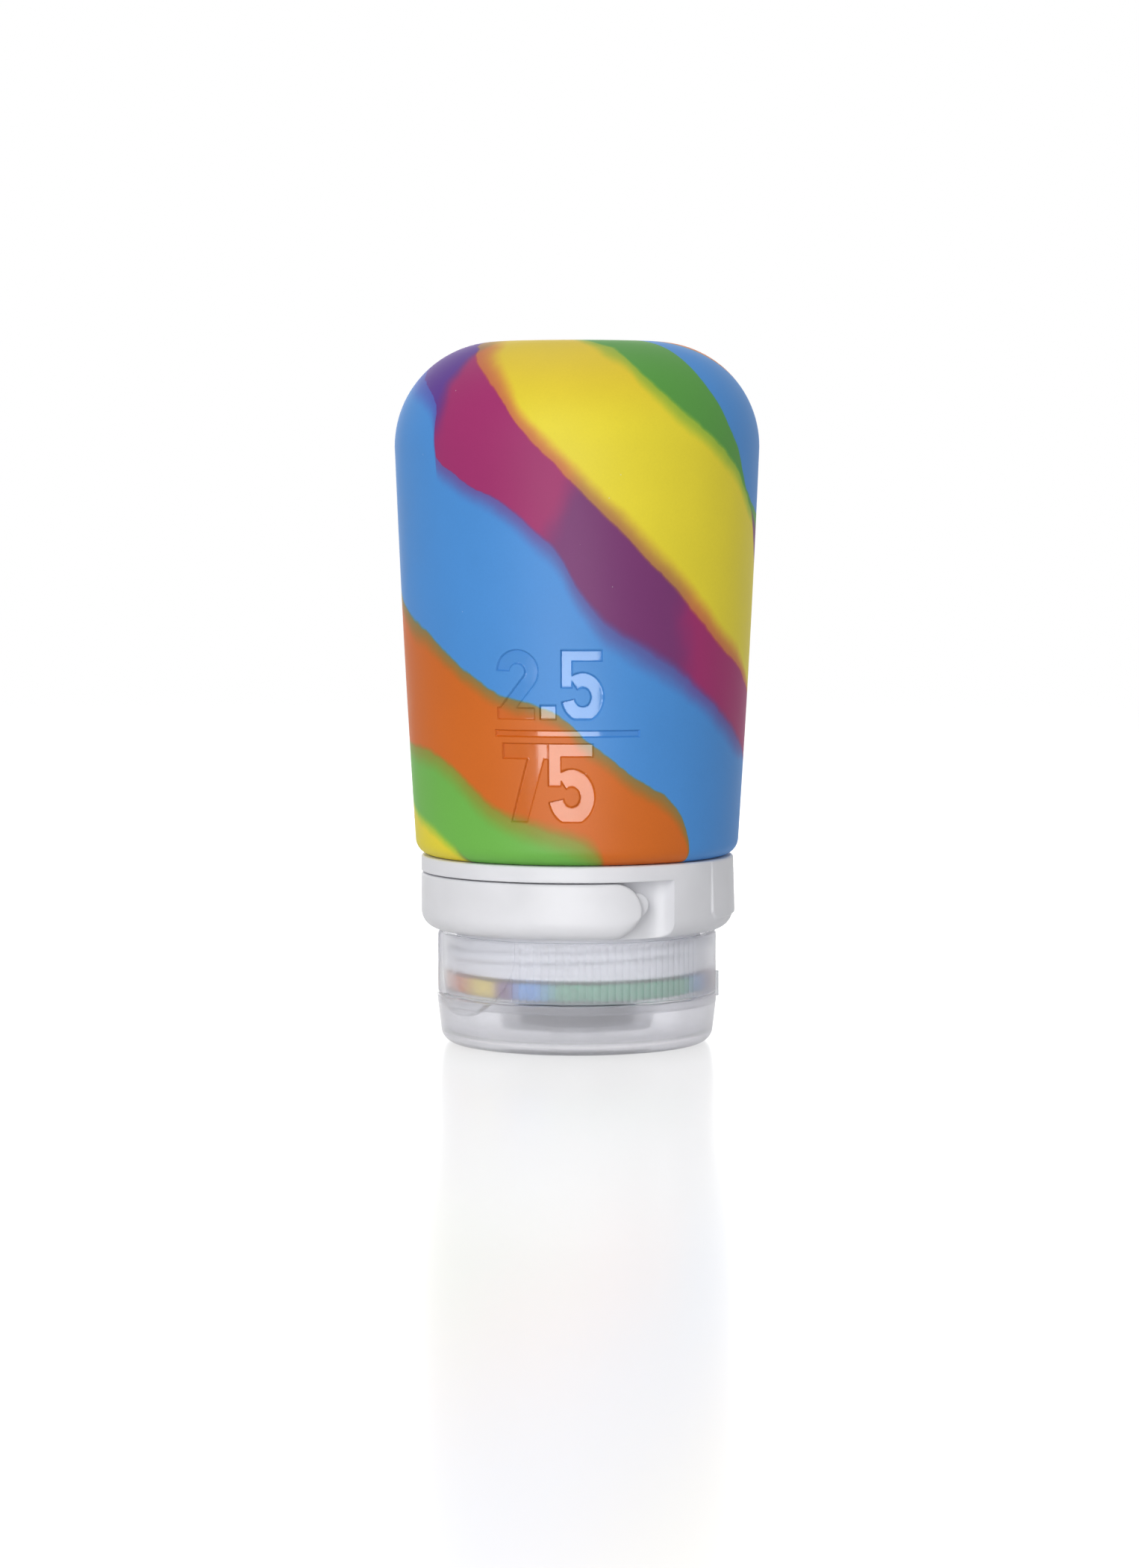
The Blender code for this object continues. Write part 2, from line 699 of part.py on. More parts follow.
def thumb_lip():
    """The lower end of the same round outline, raised on the lid's rim to push against."""
    low = lid_top - LIP_DEPTH
    band = ring_band(
        "thumb_lip",
        lid_bore + LID_WALL / 2,
        lid_rim_radius + LIP_PROUD,
        lid_rim_radius,
        low - EDGE,
        lid_top,
    )
    outline = circle_outline(SCOOP_RADIUS, thumb_middle)
    outer = lid_rim_radius + OVERRUN
    keep_inside(band, radial_prism("lip_outline", outline, THUMB_DEG, SCOOP_RADIUS, outer))
    return band


def drip_valve():
    """Soft disc with crossed slits; product passes only when the tube is squeezed."""
    low = valve_seat + GAP
    profile = [
        (0.0, low + VALVE_SKIN),
        (VALVE_WELL_RADIUS, low + VALVE_SKIN),
        (VALVE_WELL_RADIUS + VALVE_WELL_SLOPE, low + VALVE_FLANGE),
        (VALVE_RADIUS, low + VALVE_FLANGE),
        (VALVE_RADIUS, low),
        (0.0, low),
    ]
    valve = turned("drip_valve", profile, PARTS, steps=SMALL_STEPS)
    middle = (0.0, 0.0, low + VALVE_SKIN / 2)
    tall = VALVE_SKIN + 2 * OVERRUN
    first = block("slit_one", (VALVE_SLIT_LENGTH, VALVE_SLIT, tall), middle)
    join(first, block("slit_two", (VALVE_SLIT, VALVE_SLIT_LENGTH, tall), middle))
    cut(valve, first)
    return carry(finish(valve, (0.75, 0.75, 0.75), 0.5), lift_axis)


def valve_retainer():
    """Ring pressed into the housing behind the valve."""
    low = valve_seat + GAP + VALVE_FLANGE + GAP
    ring = turned(
        "valve_retainer",
        [
            (VALVE_RADIUS - EDGE, deck_top),
            (VALVE_RADIUS, deck_top - EDGE),
            (VALVE_RADIUS, low),
            (VALVE_RADIUS - RETAINER_WALL, low),
            (VALVE_RADIUS - RETAINER_WALL, deck_top),
        ],
        PARTS,
        ring=True,
        steps=SMALL_STEPS,
    )
    return carry(finish(ring, (0.8, 0.8, 0.82), 0.4), turn_axis)


def flip_lid():
    """Frosted lid with a flat face to stand on, a plug for the spout and a thumb lip."""
    foot_radius = lid_rim_radius - LID_FOOT_SHRINK
    outside = [(0.0, lid_top), (lid_rim_radius - EDGE, lid_top), (lid_rim_radius, lid_top - EDGE)]
    outside += arc(foot_radius - LID_FOOT_ROUND, LID_FOOT_ROUND, LID_FOOT_ROUND, 0, -90, 5)
    outside += [(0.0, 0.0)]
    lid = turned("flip_lid", outside, PARTS)
    boss_top = lid_top - HINGE_BOSS_SETBACK
    join(lid, hinge_boss("lid_hinge_boss", boss_top - LID_BOSS_HEIGHT, boss_top))
    join(lid, thumb_lip())
    hollow = [
        (0.0, lid_top + OVERRUN),
        (lid_bore, lid_top + OVERRUN),
        (lid_bore, LID_FLOOR + LID_COVE),
        (lid_bore - LID_COVE, LID_FLOOR),
        (LID_PLUG_RADIUS, LID_FLOOR),
        (LID_PLUG_RADIUS, housing_end + LID_PLUG_REACH),
        (0.0, housing_end + LID_PLUG_REACH),
    ]
    cut(lid, turned("lid_hollow", hollow, CUTTERS))
    return carry(finish(lid, (0.74, 0.76, 0.8), 0.45, 0.6), hinge_axis)


def lid_hinge_band():
    """Thin flexible band that ties the lid to the cap and bends as the lid opens."""
    high = hinge_height + HINGE_BAND_UP
    low = hinge_height - HINGE_BAND_DOWN
    middle = around(hinge_radius, HINGE_DEG, (high + low) / 2)
    band = block(
        "lid_hinge_band",
        (2 * HINGE_HALF_WIDTH, HINGE_BAND_THICK, high - low),
        middle,
        HINGE_DEG,
        collection=PARTS,
    )
    return carry(finish(band, (0.74, 0.76, 0.8), 0.45, 0.6), hinge_axis)


# Joint axes
loop_axis = axis_empty("loop_swing_axis", pivot_place)
lift_axis = axis_empty("cap_lift_axis", (0.0, 0.0, valve_seat))
turn_axis = axis_empty("cap_turn_axis", (0.0, 0.0, deck_top))
hinge_axis = axis_empty("lid_hinge_axis", around(hinge_radius, HINGE_DEG, hinge_height))

silicone_body()
collar()
loop_strap()
loop_pin()
screw_cap()
drip_valve()
valve_retainer()
flip_lid()
lid_hinge_band()
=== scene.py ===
"""The looks of a squeeze travel bottle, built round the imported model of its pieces.

Sizes are in millimetres until a mesh is made, and the stage is in metres; +Z is up and the front faces -Y.
Angles called _deg run from the front towards +X, seen from above.
"""

import math

import bmesh
import bpy
import numpy as np
from mathutils import Matrix, Vector


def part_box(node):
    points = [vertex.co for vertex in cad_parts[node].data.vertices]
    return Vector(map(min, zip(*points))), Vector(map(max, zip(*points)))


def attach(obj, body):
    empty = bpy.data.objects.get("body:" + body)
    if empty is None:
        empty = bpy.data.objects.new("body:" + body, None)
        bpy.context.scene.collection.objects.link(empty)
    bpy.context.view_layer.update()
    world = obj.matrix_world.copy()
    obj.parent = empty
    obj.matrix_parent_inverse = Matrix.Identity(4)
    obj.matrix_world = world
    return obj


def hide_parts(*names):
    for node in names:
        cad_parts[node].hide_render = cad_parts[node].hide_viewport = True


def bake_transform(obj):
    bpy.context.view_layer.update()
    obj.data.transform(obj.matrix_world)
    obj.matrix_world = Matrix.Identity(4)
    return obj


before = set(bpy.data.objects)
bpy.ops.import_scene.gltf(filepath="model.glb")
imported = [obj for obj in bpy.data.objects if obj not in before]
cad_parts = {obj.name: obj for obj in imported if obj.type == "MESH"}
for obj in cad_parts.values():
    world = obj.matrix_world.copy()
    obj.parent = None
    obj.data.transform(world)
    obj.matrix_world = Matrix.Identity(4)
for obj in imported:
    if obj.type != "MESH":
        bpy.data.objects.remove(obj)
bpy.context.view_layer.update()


# Squeeze tube
# A soft tube moulded in one piece from silicones of several colours, swirled together before they set. Its
# neck runs down through the collar and folds out below it, and plain figures are pressed into its front.

MM = 0.001  # metres
FAR = 99.0  # a distance that reaches nothing
SAME_PLACE = 0.002  # corners closer than this become one
SHARP_DEG = 32.0  # a sharper edge than this stays sharp
SEAM_GAP = 0.06  # between the tube's foot and the collar, which touch

tube_low, tube_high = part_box("silicone_body")
tube_top = tube_high.z / MM
tube_wide = tube_high.x / MM
fold_foot = tube_low.z / MM
collar_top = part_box("collar")[1].z / MM
tube_foot = collar_top + SEAM_GAP
TUBE_FOOT_RADIUS = 21.8
TUBE_TOP_ROUND = 14.0
TUBE_FOOT_ROUND = 2.2
TUBE_BULGE = 0.16  # of the side, half way up
TUBE_WALL = 2.4
NECK_RADIUS = 14.1
NECK_BORE = 12.3
FOLD_RADIUS = 16.4
FOLD_HEIGHT = 2.3
FOLD_ROUND = 0.7
FOLD_EDGE = 0.3  # its broken edges
TUBE_STEP_DEG = 3.0
FIGURE_RADIUS = 22.9  # of the tube's skin where the figures are
FIGURE_ROWS = (30.8, 54.4)  # the heights between which the mesh is fine
FIGURE_COLUMNS_DEG = (-30.0, 24.0)
FIGURE_STEP = 0.1  # of the fine mesh
FIGURE_DEPTH = 0.32
FIGURE_SLOPE = 0.2  # the width of the figures' sloping sides


def arc(middle_r, middle_z, radius, start_deg, end_deg, steps):
    """Profile points on an arc; 90 is up and 0 is outwards."""
    points = []
    for k in range(steps + 1):
        angle = math.radians(start_deg + (end_deg - start_deg) * k / steps)
        points.append((middle_r + radius * math.cos(angle), middle_z + radius * math.sin(angle)))
    return points


def top_corner(radius, top, round_off, steps):
    """The rounded corner at the top of an outline's outside."""
    return arc(radius - round_off, top - round_off, round_off, 90, 0, steps)


def foot_corner(radius, foot, round_off, steps):
    """The rounded corner at the foot of an outline's outside."""
    return arc(radius - round_off, foot + round_off, round_off, 0, -90, steps)


def even_angles(step, fine=()):
    """Angles round the axis in degrees, with finer steps inside some (start, end, step) stretches."""
    angles = set()
    for k in range(round(360 / step)):
        angle = -180 + k * step
        if not any(start < angle < end for start, end, _ in fine):
            angles.add(round(angle, 4))
    for start, end, small in fine:
        count = round((end - start) / small)
        for k in range(count + 1):
            angles.add(round(start + k * (end - start) / count, 4))
    return np.array(sorted(angles))


def add_object(name, data):
    made = bpy.data.objects.new(name, data)
    bpy.context.scene.collection.objects.link(made)
    return made


def smooth(obj):
    """Shades an object smooth but for its sharp edges, and returns it."""
    obj.data.shade_smooth()
    obj.data.set_sharp_from_angle(angle=math.radians(SHARP_DEG))
    return obj


def grid_object(name, points, close_turn=True, close_profile=True):
    """A mesh over a grid of points: the first index runs round the axis, the second along the outline."""
    turns, rows = points.shape[:2]
    a = np.arange(turns if close_turn else turns - 1)[:, None]
    p = np.arange(rows if close_profile else rows - 1)[None, :]
    next_a, next_p = (a + 1) % turns, (p + 1) % rows
    corners = (a * rows + p, a * rows + next_p, next_a * rows + next_p, next_a * rows + p)
    faces = np.stack(np.broadcast_arrays(*corners), axis=-1).reshape(-1, 4)
    mesh = bpy.data.meshes.new(name)
    mesh.from_pydata(points.reshape(-1, 3) * MM, [], faces.tolist())
    bm = bmesh.new()
    bm.from_mesh(mesh)
    bmesh.ops.remove_doubles(bm, verts=bm.verts, dist=SAME_PLACE * MM)
    bmesh.ops.dissolve_degenerate(bm, edges=bm.edges, dist=SAME_PLACE * MM / 2)
    bm.to_mesh(mesh)
    bm.free()
    return smooth(add_object(name, mesh))


def round_axis(turn, radius, height):
    """Points at an angle, a distance and a height about the bottle's axis."""
    return np.stack([radius * np.sin(turn), -radius * np.cos(turn), height], axis=-1)


def turned(name, profile, angles, shape=None):
    """Turns a closed profile about the bottle's axis. shape(angle, radius, height) may move the points."""
    turn, radius, height = np.broadcast_arrays(np.radians(angles)[:, None], *np.array(profile).T[:, None])
    if shape:
        radius, height = shape(turn, radius, height)
    return grid_object(name, round_axis(turn, radius, height))


def ease(x):
    """A smooth step from 0 to 1."""
    x = np.clip(x, 0.0, 1.0)
    return x * x * (3 - 2 * x)


def within(distance, slope):
    """1 inside an outline and 0 outside it, with a soft step as wide as the slope."""
    return ease(0.5 - distance / slope)


def bar(x, y, start, end, half):
    """Distance outside a straight stroke with flat ends."""
    along = np.array(end) - np.array(start)
    length = np.hypot(*along)
    run = ((x - start[0]) * along[0] + (y - start[1]) * along[1]) / length
    side = np.abs((x - start[0]) * along[1] - (y - start[1]) * along[0]) / length
    return np.maximum(np.maximum(-run, run - length), side - half)


def bow(x, y, middle, size, start_deg, end_deg, half):
    """Distance outside a bent stroke, an arc of an ellipse of two half sizes, with flat ends."""
    turn = np.degrees(np.arctan2((y - middle[1]) / size[1], (x - middle[0]) / size[0]))
    turn = (turn - start_deg) % 360.0
    reach = np.hypot((x - middle[0]) / size[0], (y - middle[1]) / size[1])
    band = np.abs(reach - 1) * min(size) - half
    past = np.minimum(turn - (end_deg - start_deg), 360.0 - turn)
    return np.maximum(band, np.radians(past) * min(size))


# Each figure is drawn in a box from (0, 0) to (wide, high); half is half the width of its strokes.
def two(x, y, wide, high, half):
    bold = 1.2 * half
    ring = wide / 2 - bold
    middle = (wide / 2, high - bold - ring)
    joint = math.radians(-36.0)
    foot = (middle[0] + ring * math.cos(joint), middle[1] + ring * math.sin(joint))
    shape = bow(x, y, middle, (ring, ring), -40.0, 178.0, bold)
    shape = np.minimum(shape, bar(x, y, foot, (bold, half), bold))
    return np.minimum(shape, bar(x, y, (0, half), (0.9 * wide, half), half))


def five(x, y, wide, high, half):
    bold = 1.2 * half
    stem_foot = 0.46 * high
    ring = (wide / 2 - bold, 0.325 * high - half)
    shape = bow(x, y, (wide / 2, half + ring[1]), ring, -168.0, 130.0, bold)
    shape = np.minimum(shape, bar(x, y, (half, stem_foot), (half, high), half))
    return np.minimum(shape, bar(x, y, (0, high - half), (0.95 * wide, high - half), half))


def seven(x, y, wide, high, half):
    shape = bar(x, y, (0, high - half), (wide, high - half), half)
    return np.minimum(shape, bar(x, y, (0.84 * wide, high), (0.3 * wide, -half), 1.1 * half))


def dash(x, y, wide, high, half):
    return bar(x, y, (0, half), (wide, half), half)


# how each figure is drawn, then its left side, foot, width, height and stroke in mm, on the unrolled front
FIGURES = (
    (two, -10.8, 44.75, 5.7, 9.1, 1.5),
    (dash, -4.9, 44.75, 2.1, 1.9, 1.9),
    (five, -2.1, 44.75, 5.6, 9.1, 1.45),
    (dash, -11.2, 42.48, 19.6, 0.84, 0.84),
    (seven, -10.2, 31.3, 6.2, 10.3, 2.0),
    (five, -3.9, 31.3, 6.3, 10.3, 1.7),
)


def figures(along, height):
    """How far each place on the tube's front lies outside the pressed figures' strokes."""
    far = np.full(along.shape, FAR)
    for draw, left, foot, wide, tall, stroke in FIGURES:
        x, y = along - left, height - foot
        shape = draw(x, y, wide, tall, stroke / 2)
        far = np.minimum(far, np.maximum(shape, np.maximum(-y, y - tall)))
    return far


def pressed(turn, height):
    """How deep each place of the tube's skin is pressed, from 0 to 1, within a radian of the front."""
    depth = within(figures(turn * FIGURE_RADIUS, height), FIGURE_SLOPE)
    return np.where(np.abs(turn) < 1.0, depth, 0.0)


def tube_profile():
    shoulder_r, shoulder_z = tube_wide - TUBE_TOP_ROUND, tube_top - TUBE_TOP_ROUND
    side_foot = tube_foot + TUBE_FOOT_ROUND
    fine_foot, fine_top = FIGURE_ROWS
    heights = np.concatenate([
        np.linspace(shoulder_z, fine_top, 24, endpoint=False),
        np.arange(fine_top, fine_foot, -FIGURE_STEP),
        np.linspace(fine_foot, side_foot, 3, endpoint=False),
    ])
    share = (heights - side_foot) / (shoulder_z - side_foot)
    bulge = TUBE_BULGE * np.sin(math.pi * share)
    side = zip(TUBE_FOOT_RADIUS + (tube_wide - TUBE_FOOT_RADIUS) * share + bulge, heights)
    outside = [(0.0, tube_top), (shoulder_r / 2, tube_top)]
    outside += top_corner(tube_wide, tube_top, TUBE_TOP_ROUND, 28) + list(side)[1:]
    outside += foot_corner(TUBE_FOOT_RADIUS, tube_foot, TUBE_FOOT_ROUND, 8)
    neck = [(NECK_RADIUS, tube_foot), (NECK_RADIUS, fold_foot + FOLD_HEIGHT)]
    neck += top_corner(FOLD_RADIUS, fold_foot + FOLD_HEIGHT, FOLD_EDGE, 3)
    neck += foot_corner(FOLD_RADIUS, fold_foot, FOLD_ROUND, 6)
    neck += [(NECK_BORE + FOLD_EDGE, fold_foot), (NECK_BORE, fold_foot + FOLD_EDGE)]
    floor, inner_r = tube_foot + TUBE_WALL, TUBE_FOOT_RADIUS - TUBE_WALL
    inside = [(NECK_BORE, floor), (inner_r - TUBE_FOOT_ROUND, floor), (inner_r, floor + TUBE_FOOT_ROUND)]
    inside += arc(shoulder_r, shoulder_z, TUBE_TOP_ROUND - TUBE_WALL, 0, 90, 12)
    return outside + neck + inside + [(0.0, tube_top - TUBE_WALL)]


def press_figures(turn, radius, height):
    """Presses the figures into the outer skin."""
    skin = (radius > TUBE_FOOT_RADIUS - 0.1) & (height > tube_foot + TUBE_FOOT_ROUND)
    return radius - np.where(skin, pressed(turn, height), 0.0) * FIGURE_DEPTH, height


figure_step_deg = math.degrees(FIGURE_STEP / FIGURE_RADIUS)
tube_angles = even_angles(TUBE_STEP_DEG, [(*FIGURE_COLUMNS_DEG, figure_step_deg)])
tube = turned("tube", tube_profile(), tube_angles, press_figures)


def pressed_mask(obj):
    """Marks the floors of the pressed figures on the mesh, for the finish."""
    places = np.zeros(len(obj.data.vertices) * 3)
    obj.data.vertices.foreach_get("co", places)
    x, y, z = places.reshape(-1, 3).T / MM
    skin = np.hypot(x, y) > TUBE_FOOT_RADIUS - FIGURE_DEPTH - 0.2
    mask = np.where(skin, pressed(np.arctan2(x, -y), z), 0.0)
    layer = obj.data.attributes.new("pressed", "FLOAT", "POINT")
    layer.data.foreach_set("value", mask.astype(np.float32))


pressed_mask(tube)


def new_material(name):
    """An empty material with its Principled shader; returns material, node tree and shader."""
    material = bpy.data.materials.new(name)
    material.use_nodes = True
    return material, material.node_tree, material.node_tree.nodes["Principled BSDF"]


def feed(tree, node, inputs):
    """Gives a node its inputs: sockets to link or plain values, in order or by name."""
    pairs = inputs.items() if isinstance(inputs, dict) else enumerate(inputs)
    for key, value in pairs:
        if isinstance(value, bpy.types.NodeSocket):
            tree.links.new(value, node.inputs[key])
        else:
            node.inputs[key].default_value = value


def put(tree, kind, inputs=(), **settings):
    """Adds a shader node of a kind, with its settings and inputs."""
    made = tree.nodes.new("ShaderNode" + kind)
    for key, value in settings.items():
        setattr(made, key, value)
    feed(tree, made, inputs)
    return made


def calc(tree, operation, *inputs):
    return put(tree, "Math", inputs, operation=operation).outputs[0]


def times(tree, a, b):
    return calc(tree, "MULTIPLY", a, b)


def linear(tree, value, factor, plus):
    """A value times a factor, plus another value."""
    return calc(tree, "MULTIPLY_ADD", value, factor, plus)


def ramp_between(tree, value, low, high, from_value=0.0, to_value=1.0):
    """A smooth step of a value between two limits."""
    inputs = (value, low, high, from_value, to_value)
    return put(tree, "MapRange", inputs, interpolation_type="SMOOTHSTEP").outputs[0]


def mix_colour(tree, factor, a, b):
    return put(tree, "Mix", {0: factor, 6: a, 7: b}, data_type="RGBA").outputs[2]


def mix_vector(tree, factor, a, b):
    return put(tree, "Mix", {0: factor, 4: a, 5: b}, data_type="VECTOR").outputs[1]


def noise(tree, place, scale, detail):
    return put(tree, "TexNoise", {"Vector": place, "Scale": scale, "Detail": detail}).outputs[0]


def place_in_mm(tree):
    """Places on the piece in millimetres from the bottle's foot, as a vector."""
    place = put(tree, "TexCoord").outputs["Object"]
    return put(tree, "VectorMath", {0: place, "Scale": 1 / MM}, operation="SCALE").outputs[0]


def from_axis(tree, axes):
    """Distance of each place from the bottle's axis."""
    level = put(tree, "CombineXYZ", (axes[0], axes[1], 0.0)).outputs[0]
    return put(tree, "VectorMath", (level,), operation="LENGTH").outputs["Value"]


def grain_group():
    """Fine moulded grain, slow patches and a few specks of dust, used by every piece."""
    group = bpy.data.node_groups.new("moulded_grain", "ShaderNodeTree")
    for name, side, kind in (
        ("Place", "INPUT", "Vector"), ("Grain Size", "INPUT", "Float"), ("Dust", "INPUT", "Float"),
        ("Height", "OUTPUT", "Float"), ("Patch", "OUTPUT", "Float"), ("Dust Mask", "OUTPUT", "Float"),
    ):
        group.interface.new_socket(name, in_out=side, socket_type="NodeSocket" + kind)
    given = group.nodes.new("NodeGroupInput").outputs
    fine_scale = calc(group, "DIVIDE", 1.0, given["Grain Size"])
    cells = put(group, "TexVoronoi", {"Vector": given["Place"], "Scale": 0.42}).outputs
    chance = put(group, "TexWhiteNoise", {"Vector": cells["Position"]}, noise_dimensions="3D")
    speck = calc(group, "GREATER_THAN", chance.outputs["Value"], 0.86)
    size = times(group, times(group, speck, given["Dust"]), 0.035)
    feed(group, group.nodes.new("NodeGroupOutput"), {
        "Height": noise(group, given["Place"], fine_scale, 2.0),
        "Patch": noise(group, given["Place"], 0.09, 3.0),
        "Dust Mask": calc(group, "LESS_THAN", cells["Distance"], size),
    })
    return group


moulded_grain = grain_group()


def grain_on(tree, size, dust):
    """Puts the grain group in a material; returns its outputs."""
    given = {"Place": place_in_mm(tree), "Grain Size": size, "Dust": dust}
    return put(tree, "Group", given, node_tree=moulded_grain).outputs


def grain_bump(tree, grain, strength, depth_mm):
    inputs = {"Strength": strength, "Distance": depth_mm * MM, "Height": grain["Height"]}
    return put(tree, "Bump", inputs).outputs[0]


# The swirl: each colour ends at a border, given as (angle, height in mm) points that a smooth line joins.
# Angles run from -270 at the right side, round the back and the front, to 90 at the right side again.
SWIRL_START_DEG, SWIRL_END_DEG = -270, 90
SWIRL_COLOURS = {
    "blue": (0.066, 0.262, 0.640),
    "magenta": (0.325, 0.023, 0.132),
    "golden": (0.700, 0.520, 0.030),
    "yellow": (0.780, 0.655, 0.035),
    "purple": (0.150, 0.033, 0.145),
    "indigo": (0.095, 0.030, 0.250),
    "green": (0.085, 0.290, 0.050),
    "lime": (0.152, 0.445, 0.068),
    "orange": (0.610, 0.134, 0.011),
    "sea green": (0.075, 0.330, 0.190),
}
FOOT, ABOVE = 0.0, 112.0
SWIRL_BORDERS = (
    # colour above the border; how soft it is at the front's left and right, and how far one colour stains
    # the other, below the border if negative, all in mm; points, from above the tube if they start later
    ("magenta", 0.4, 0.4, -2.5, (
        (-270, 37.5), (-250, 33), (-225, 28.5), (-200, 22), (-185, 8), (-180, FOOT))),
    ("yellow", 0.4, 0.4, 3.0, (
        (-270, 46.5), (-245, 41.5), (-215, 35.5), (-185, 30), (-165, 25), (-150, 14), (-143, FOOT))),
    ("purple", 0.5, 0.5, -2.5, (
        (-270, 62.5), (-262, 60), (-250, 57), (-230, 53.5), (-205, 50.5), (-180, 47), (-150, 43),
        (-120, 39), (-90, 36), (-50, 30), (-35, 8), (-30, FOOT))),
    ("lime", 1.0, 1.0, -1.5, (
        (-270, 69), (-250, 65.5), (-230, 60), (-205, 55), (-180, 50), (-150, 44), (-120, 38),
        (-90, 33.4), (-76, 31.3), (-62, 29.7), (-52, 27.9), (-44, 25.7), (-36, 20), (-28, FOOT))),
    ("blue", 0.5, 0.5, -1.5, (
        (-270, 71), (-235, 67), (-212, 63), (-196, 61.5), (-185, 62), (-150, 55), (-90, 46),
        (-40, 40), (0, 34), (20, 8), (24, FOOT))),
    ("orange", 0.8, 2.2, -3.0, (
        (-270, 87.8), (-262, 85), (-250, 80.6), (-238, 76), (-225, 71), (-205, 63.5), (-190, 58),
        (-175, 55), (-150, 50), (-125, 45), (-100, 41.6), (-80, 40.3), (-60, 39.4), (-48, 38),
        (-38.5, 35.6), (-30.5, 33.2), (-22.5, 31.5), (-12, 30.2), (-1.6, 29), (6, 27.5), (10, 24),
        (15, FOOT))),
    ("blue", 0.5, 0.3, -2.6, (
        (-235, 107), (-215, 98), (-200, 93), (-175, 84), (-150, 75.5), (-125, 68.5), (-100, 63),
        (-82, 60), (-67, 57.1), (-55, 54.9), (-46, 52.8), (-37.5, 50.5), (-29.5, 48.5), (-22, 47.2),
        (-14, 46.3), (-5, 44.7), (1.5, 42.4), (10, 40), (17, 37.8), (26, 35.6), (33.5, 33.6),
        (39, 31.2), (42, 28.7), (44, 24), (47, 15), (52, FOOT))),
    ("magenta", 0.2, 1.4, -3.4, (
        (-150, ABOVE), (-125, 99), (-105, 94), (-85, 91), (-71, 89.1), (-58, 87.2), (-51.5, 85.3),
        (-50, 83), (-49.7, 79.2), (-47, 78.1), (-42, 77), (-35, 75.2), (-26, 73.1), (-19.5, 71.2),
        (-13, 69), (-7.5, 66.9), (0.8, 61.2), (7, 58), (14, 55.8), (21, 54.1), (28, 52.3),
        (36.5, 50.3), (46, 47.7), (58, 44.6), (73, 41), (90, 37.5))),
    ("yellow", 0.3, 0.6, 3.4, (
        (-120, ABOVE), (-98, 102), (-80, 97), (-60, 94), (-47, 92.3), (-33.5, 89.2), (-23.5, 85.3),
        (-15.5, 81.6), (-9, 78.9), (-3, 76.3), (3, 73.7), (10, 70.7), (16.5, 68), (24, 65),
        (32, 62), (38.5, 59.6), (46, 56.8), (55.5, 53.8), (65, 51.6), (76, 48.9), (90, 46.5))),
    ("purple", 0.5, 0.5, -2.0, (
        (0, ABOVE), (30, 104), (60, 84), (70, 75), (76, 70.5), (82, 66.5), (90, 62.5))),
    ("green", 0.5, 0.8, -3.0, (
        (-20, ABOVE), (-4, 100), (11, 94.4), (18, 92.8), (22, 90.4), (27.5, 87.8), (34.5, 84.9),
        (43, 82.3), (52, 79.8), (60, 77.4), (66, 74.8), (74, 71.6), (82, 69.8), (90, 69))),
    ("blue", 0.3, 0.3, -0.6, (
        (25, ABOVE), (36, 103), (44, 97), (47.5, 92), (49.5, 88.8), (52, 86.3), (56, 82.6),
        (60.5, 79.8), (64, 77.1), (68, 74.6), (78, 72), (90, 71))),
    ("orange", 0.3, 0.3, -1.0, (
        (40, ABOVE), (52, 102), (60, 97), (70, 94), (78, 91.8), (85, 89.5), (90, 87.8))),
)
LIP_STOPS = (
    (-270, "purple"), (-246, "orange"), (-200, "blue"), (-130, "lime"), (-90, "orange"), (-68, "orange"),
    (-54, "golden"), (-45, "golden"), (-38, "purple"), (-34, "purple"), (-27, "blue"), (-20, "blue"),
    (-8, "sea green"), (60, "sea green"), (76, "blue"), (90, "purple"),
)
LIP_BELOW = 20.0  # mm, where the swirl ends and the folded lip's own colours begin
STAIN = 0.42  # the most that a colour stains its neighbour
SWIRL_DEEP = 120.0  # the height that a border's 1.0 stands for, in mm
PALE_DUST = (0.8, 0.8, 0.82, 1.0)


def share_of_turn(deg):
    return (deg - SWIRL_START_DEG) / 360


def border_height(tree, turn, points):
    """A smooth border line: height in mm against the angle as a share of a turn."""
    if points[0][0] > SWIRL_START_DEG:
        points = ((SWIRL_START_DEG, ABOVE), *points)
    if points[-1][0] < SWIRL_END_DEG:
        points = (*points, (SWIRL_END_DEG, FOOT))
    places = [(share_of_turn(deg), height / SWIRL_DEEP) for deg, height in points]
    made = put(tree, "FloatCurve", {1: turn})
    made.mapping.use_clip = False
    line = made.mapping.curves[0]
    line.points[0].location = places[0]
    line.points[1].location = places[-1]
    for place in places[1:-1]:
        line.points.new(*place)
    for point in line.points:
        point.handle_type = "AUTO_CLAMPED"
    made.mapping.update()
    return times(tree, made.outputs[0], SWIRL_DEEP)


def swirl_place(tree, axes):
    """Where each place lies in the swirl: its share of a turn and its height, wound to a spiral on top."""
    back = times(tree, axes[1], -1.0)
    turn = calc(tree, "ARCTAN2", back, times(tree, axes[0], -1.0))
    turn = linear(tree, turn, 1 / math.tau, 0.5)
    radius = from_axis(tree, axes)
    # over the closed end the height goes on rising from 16 mm inwards, and the turn winds on from 11 mm
    winding = ramp_between(tree, radius, 11.0, 0.0, 0.0, 0.55)
    inward = calc(tree, "MAXIMUM", calc(tree, "SUBTRACT", 16.0, radius), 0.0)
    height = linear(tree, inward, 0.55, axes[2])
    return calc(tree, "FRACT", calc(tree, "ADD", turn, winding)), height


def dye(name):
    """A colour as logarithms, because mixed dyes darken each other."""
    return tuple(math.log(c) for c in SWIRL_COLOURS[name])


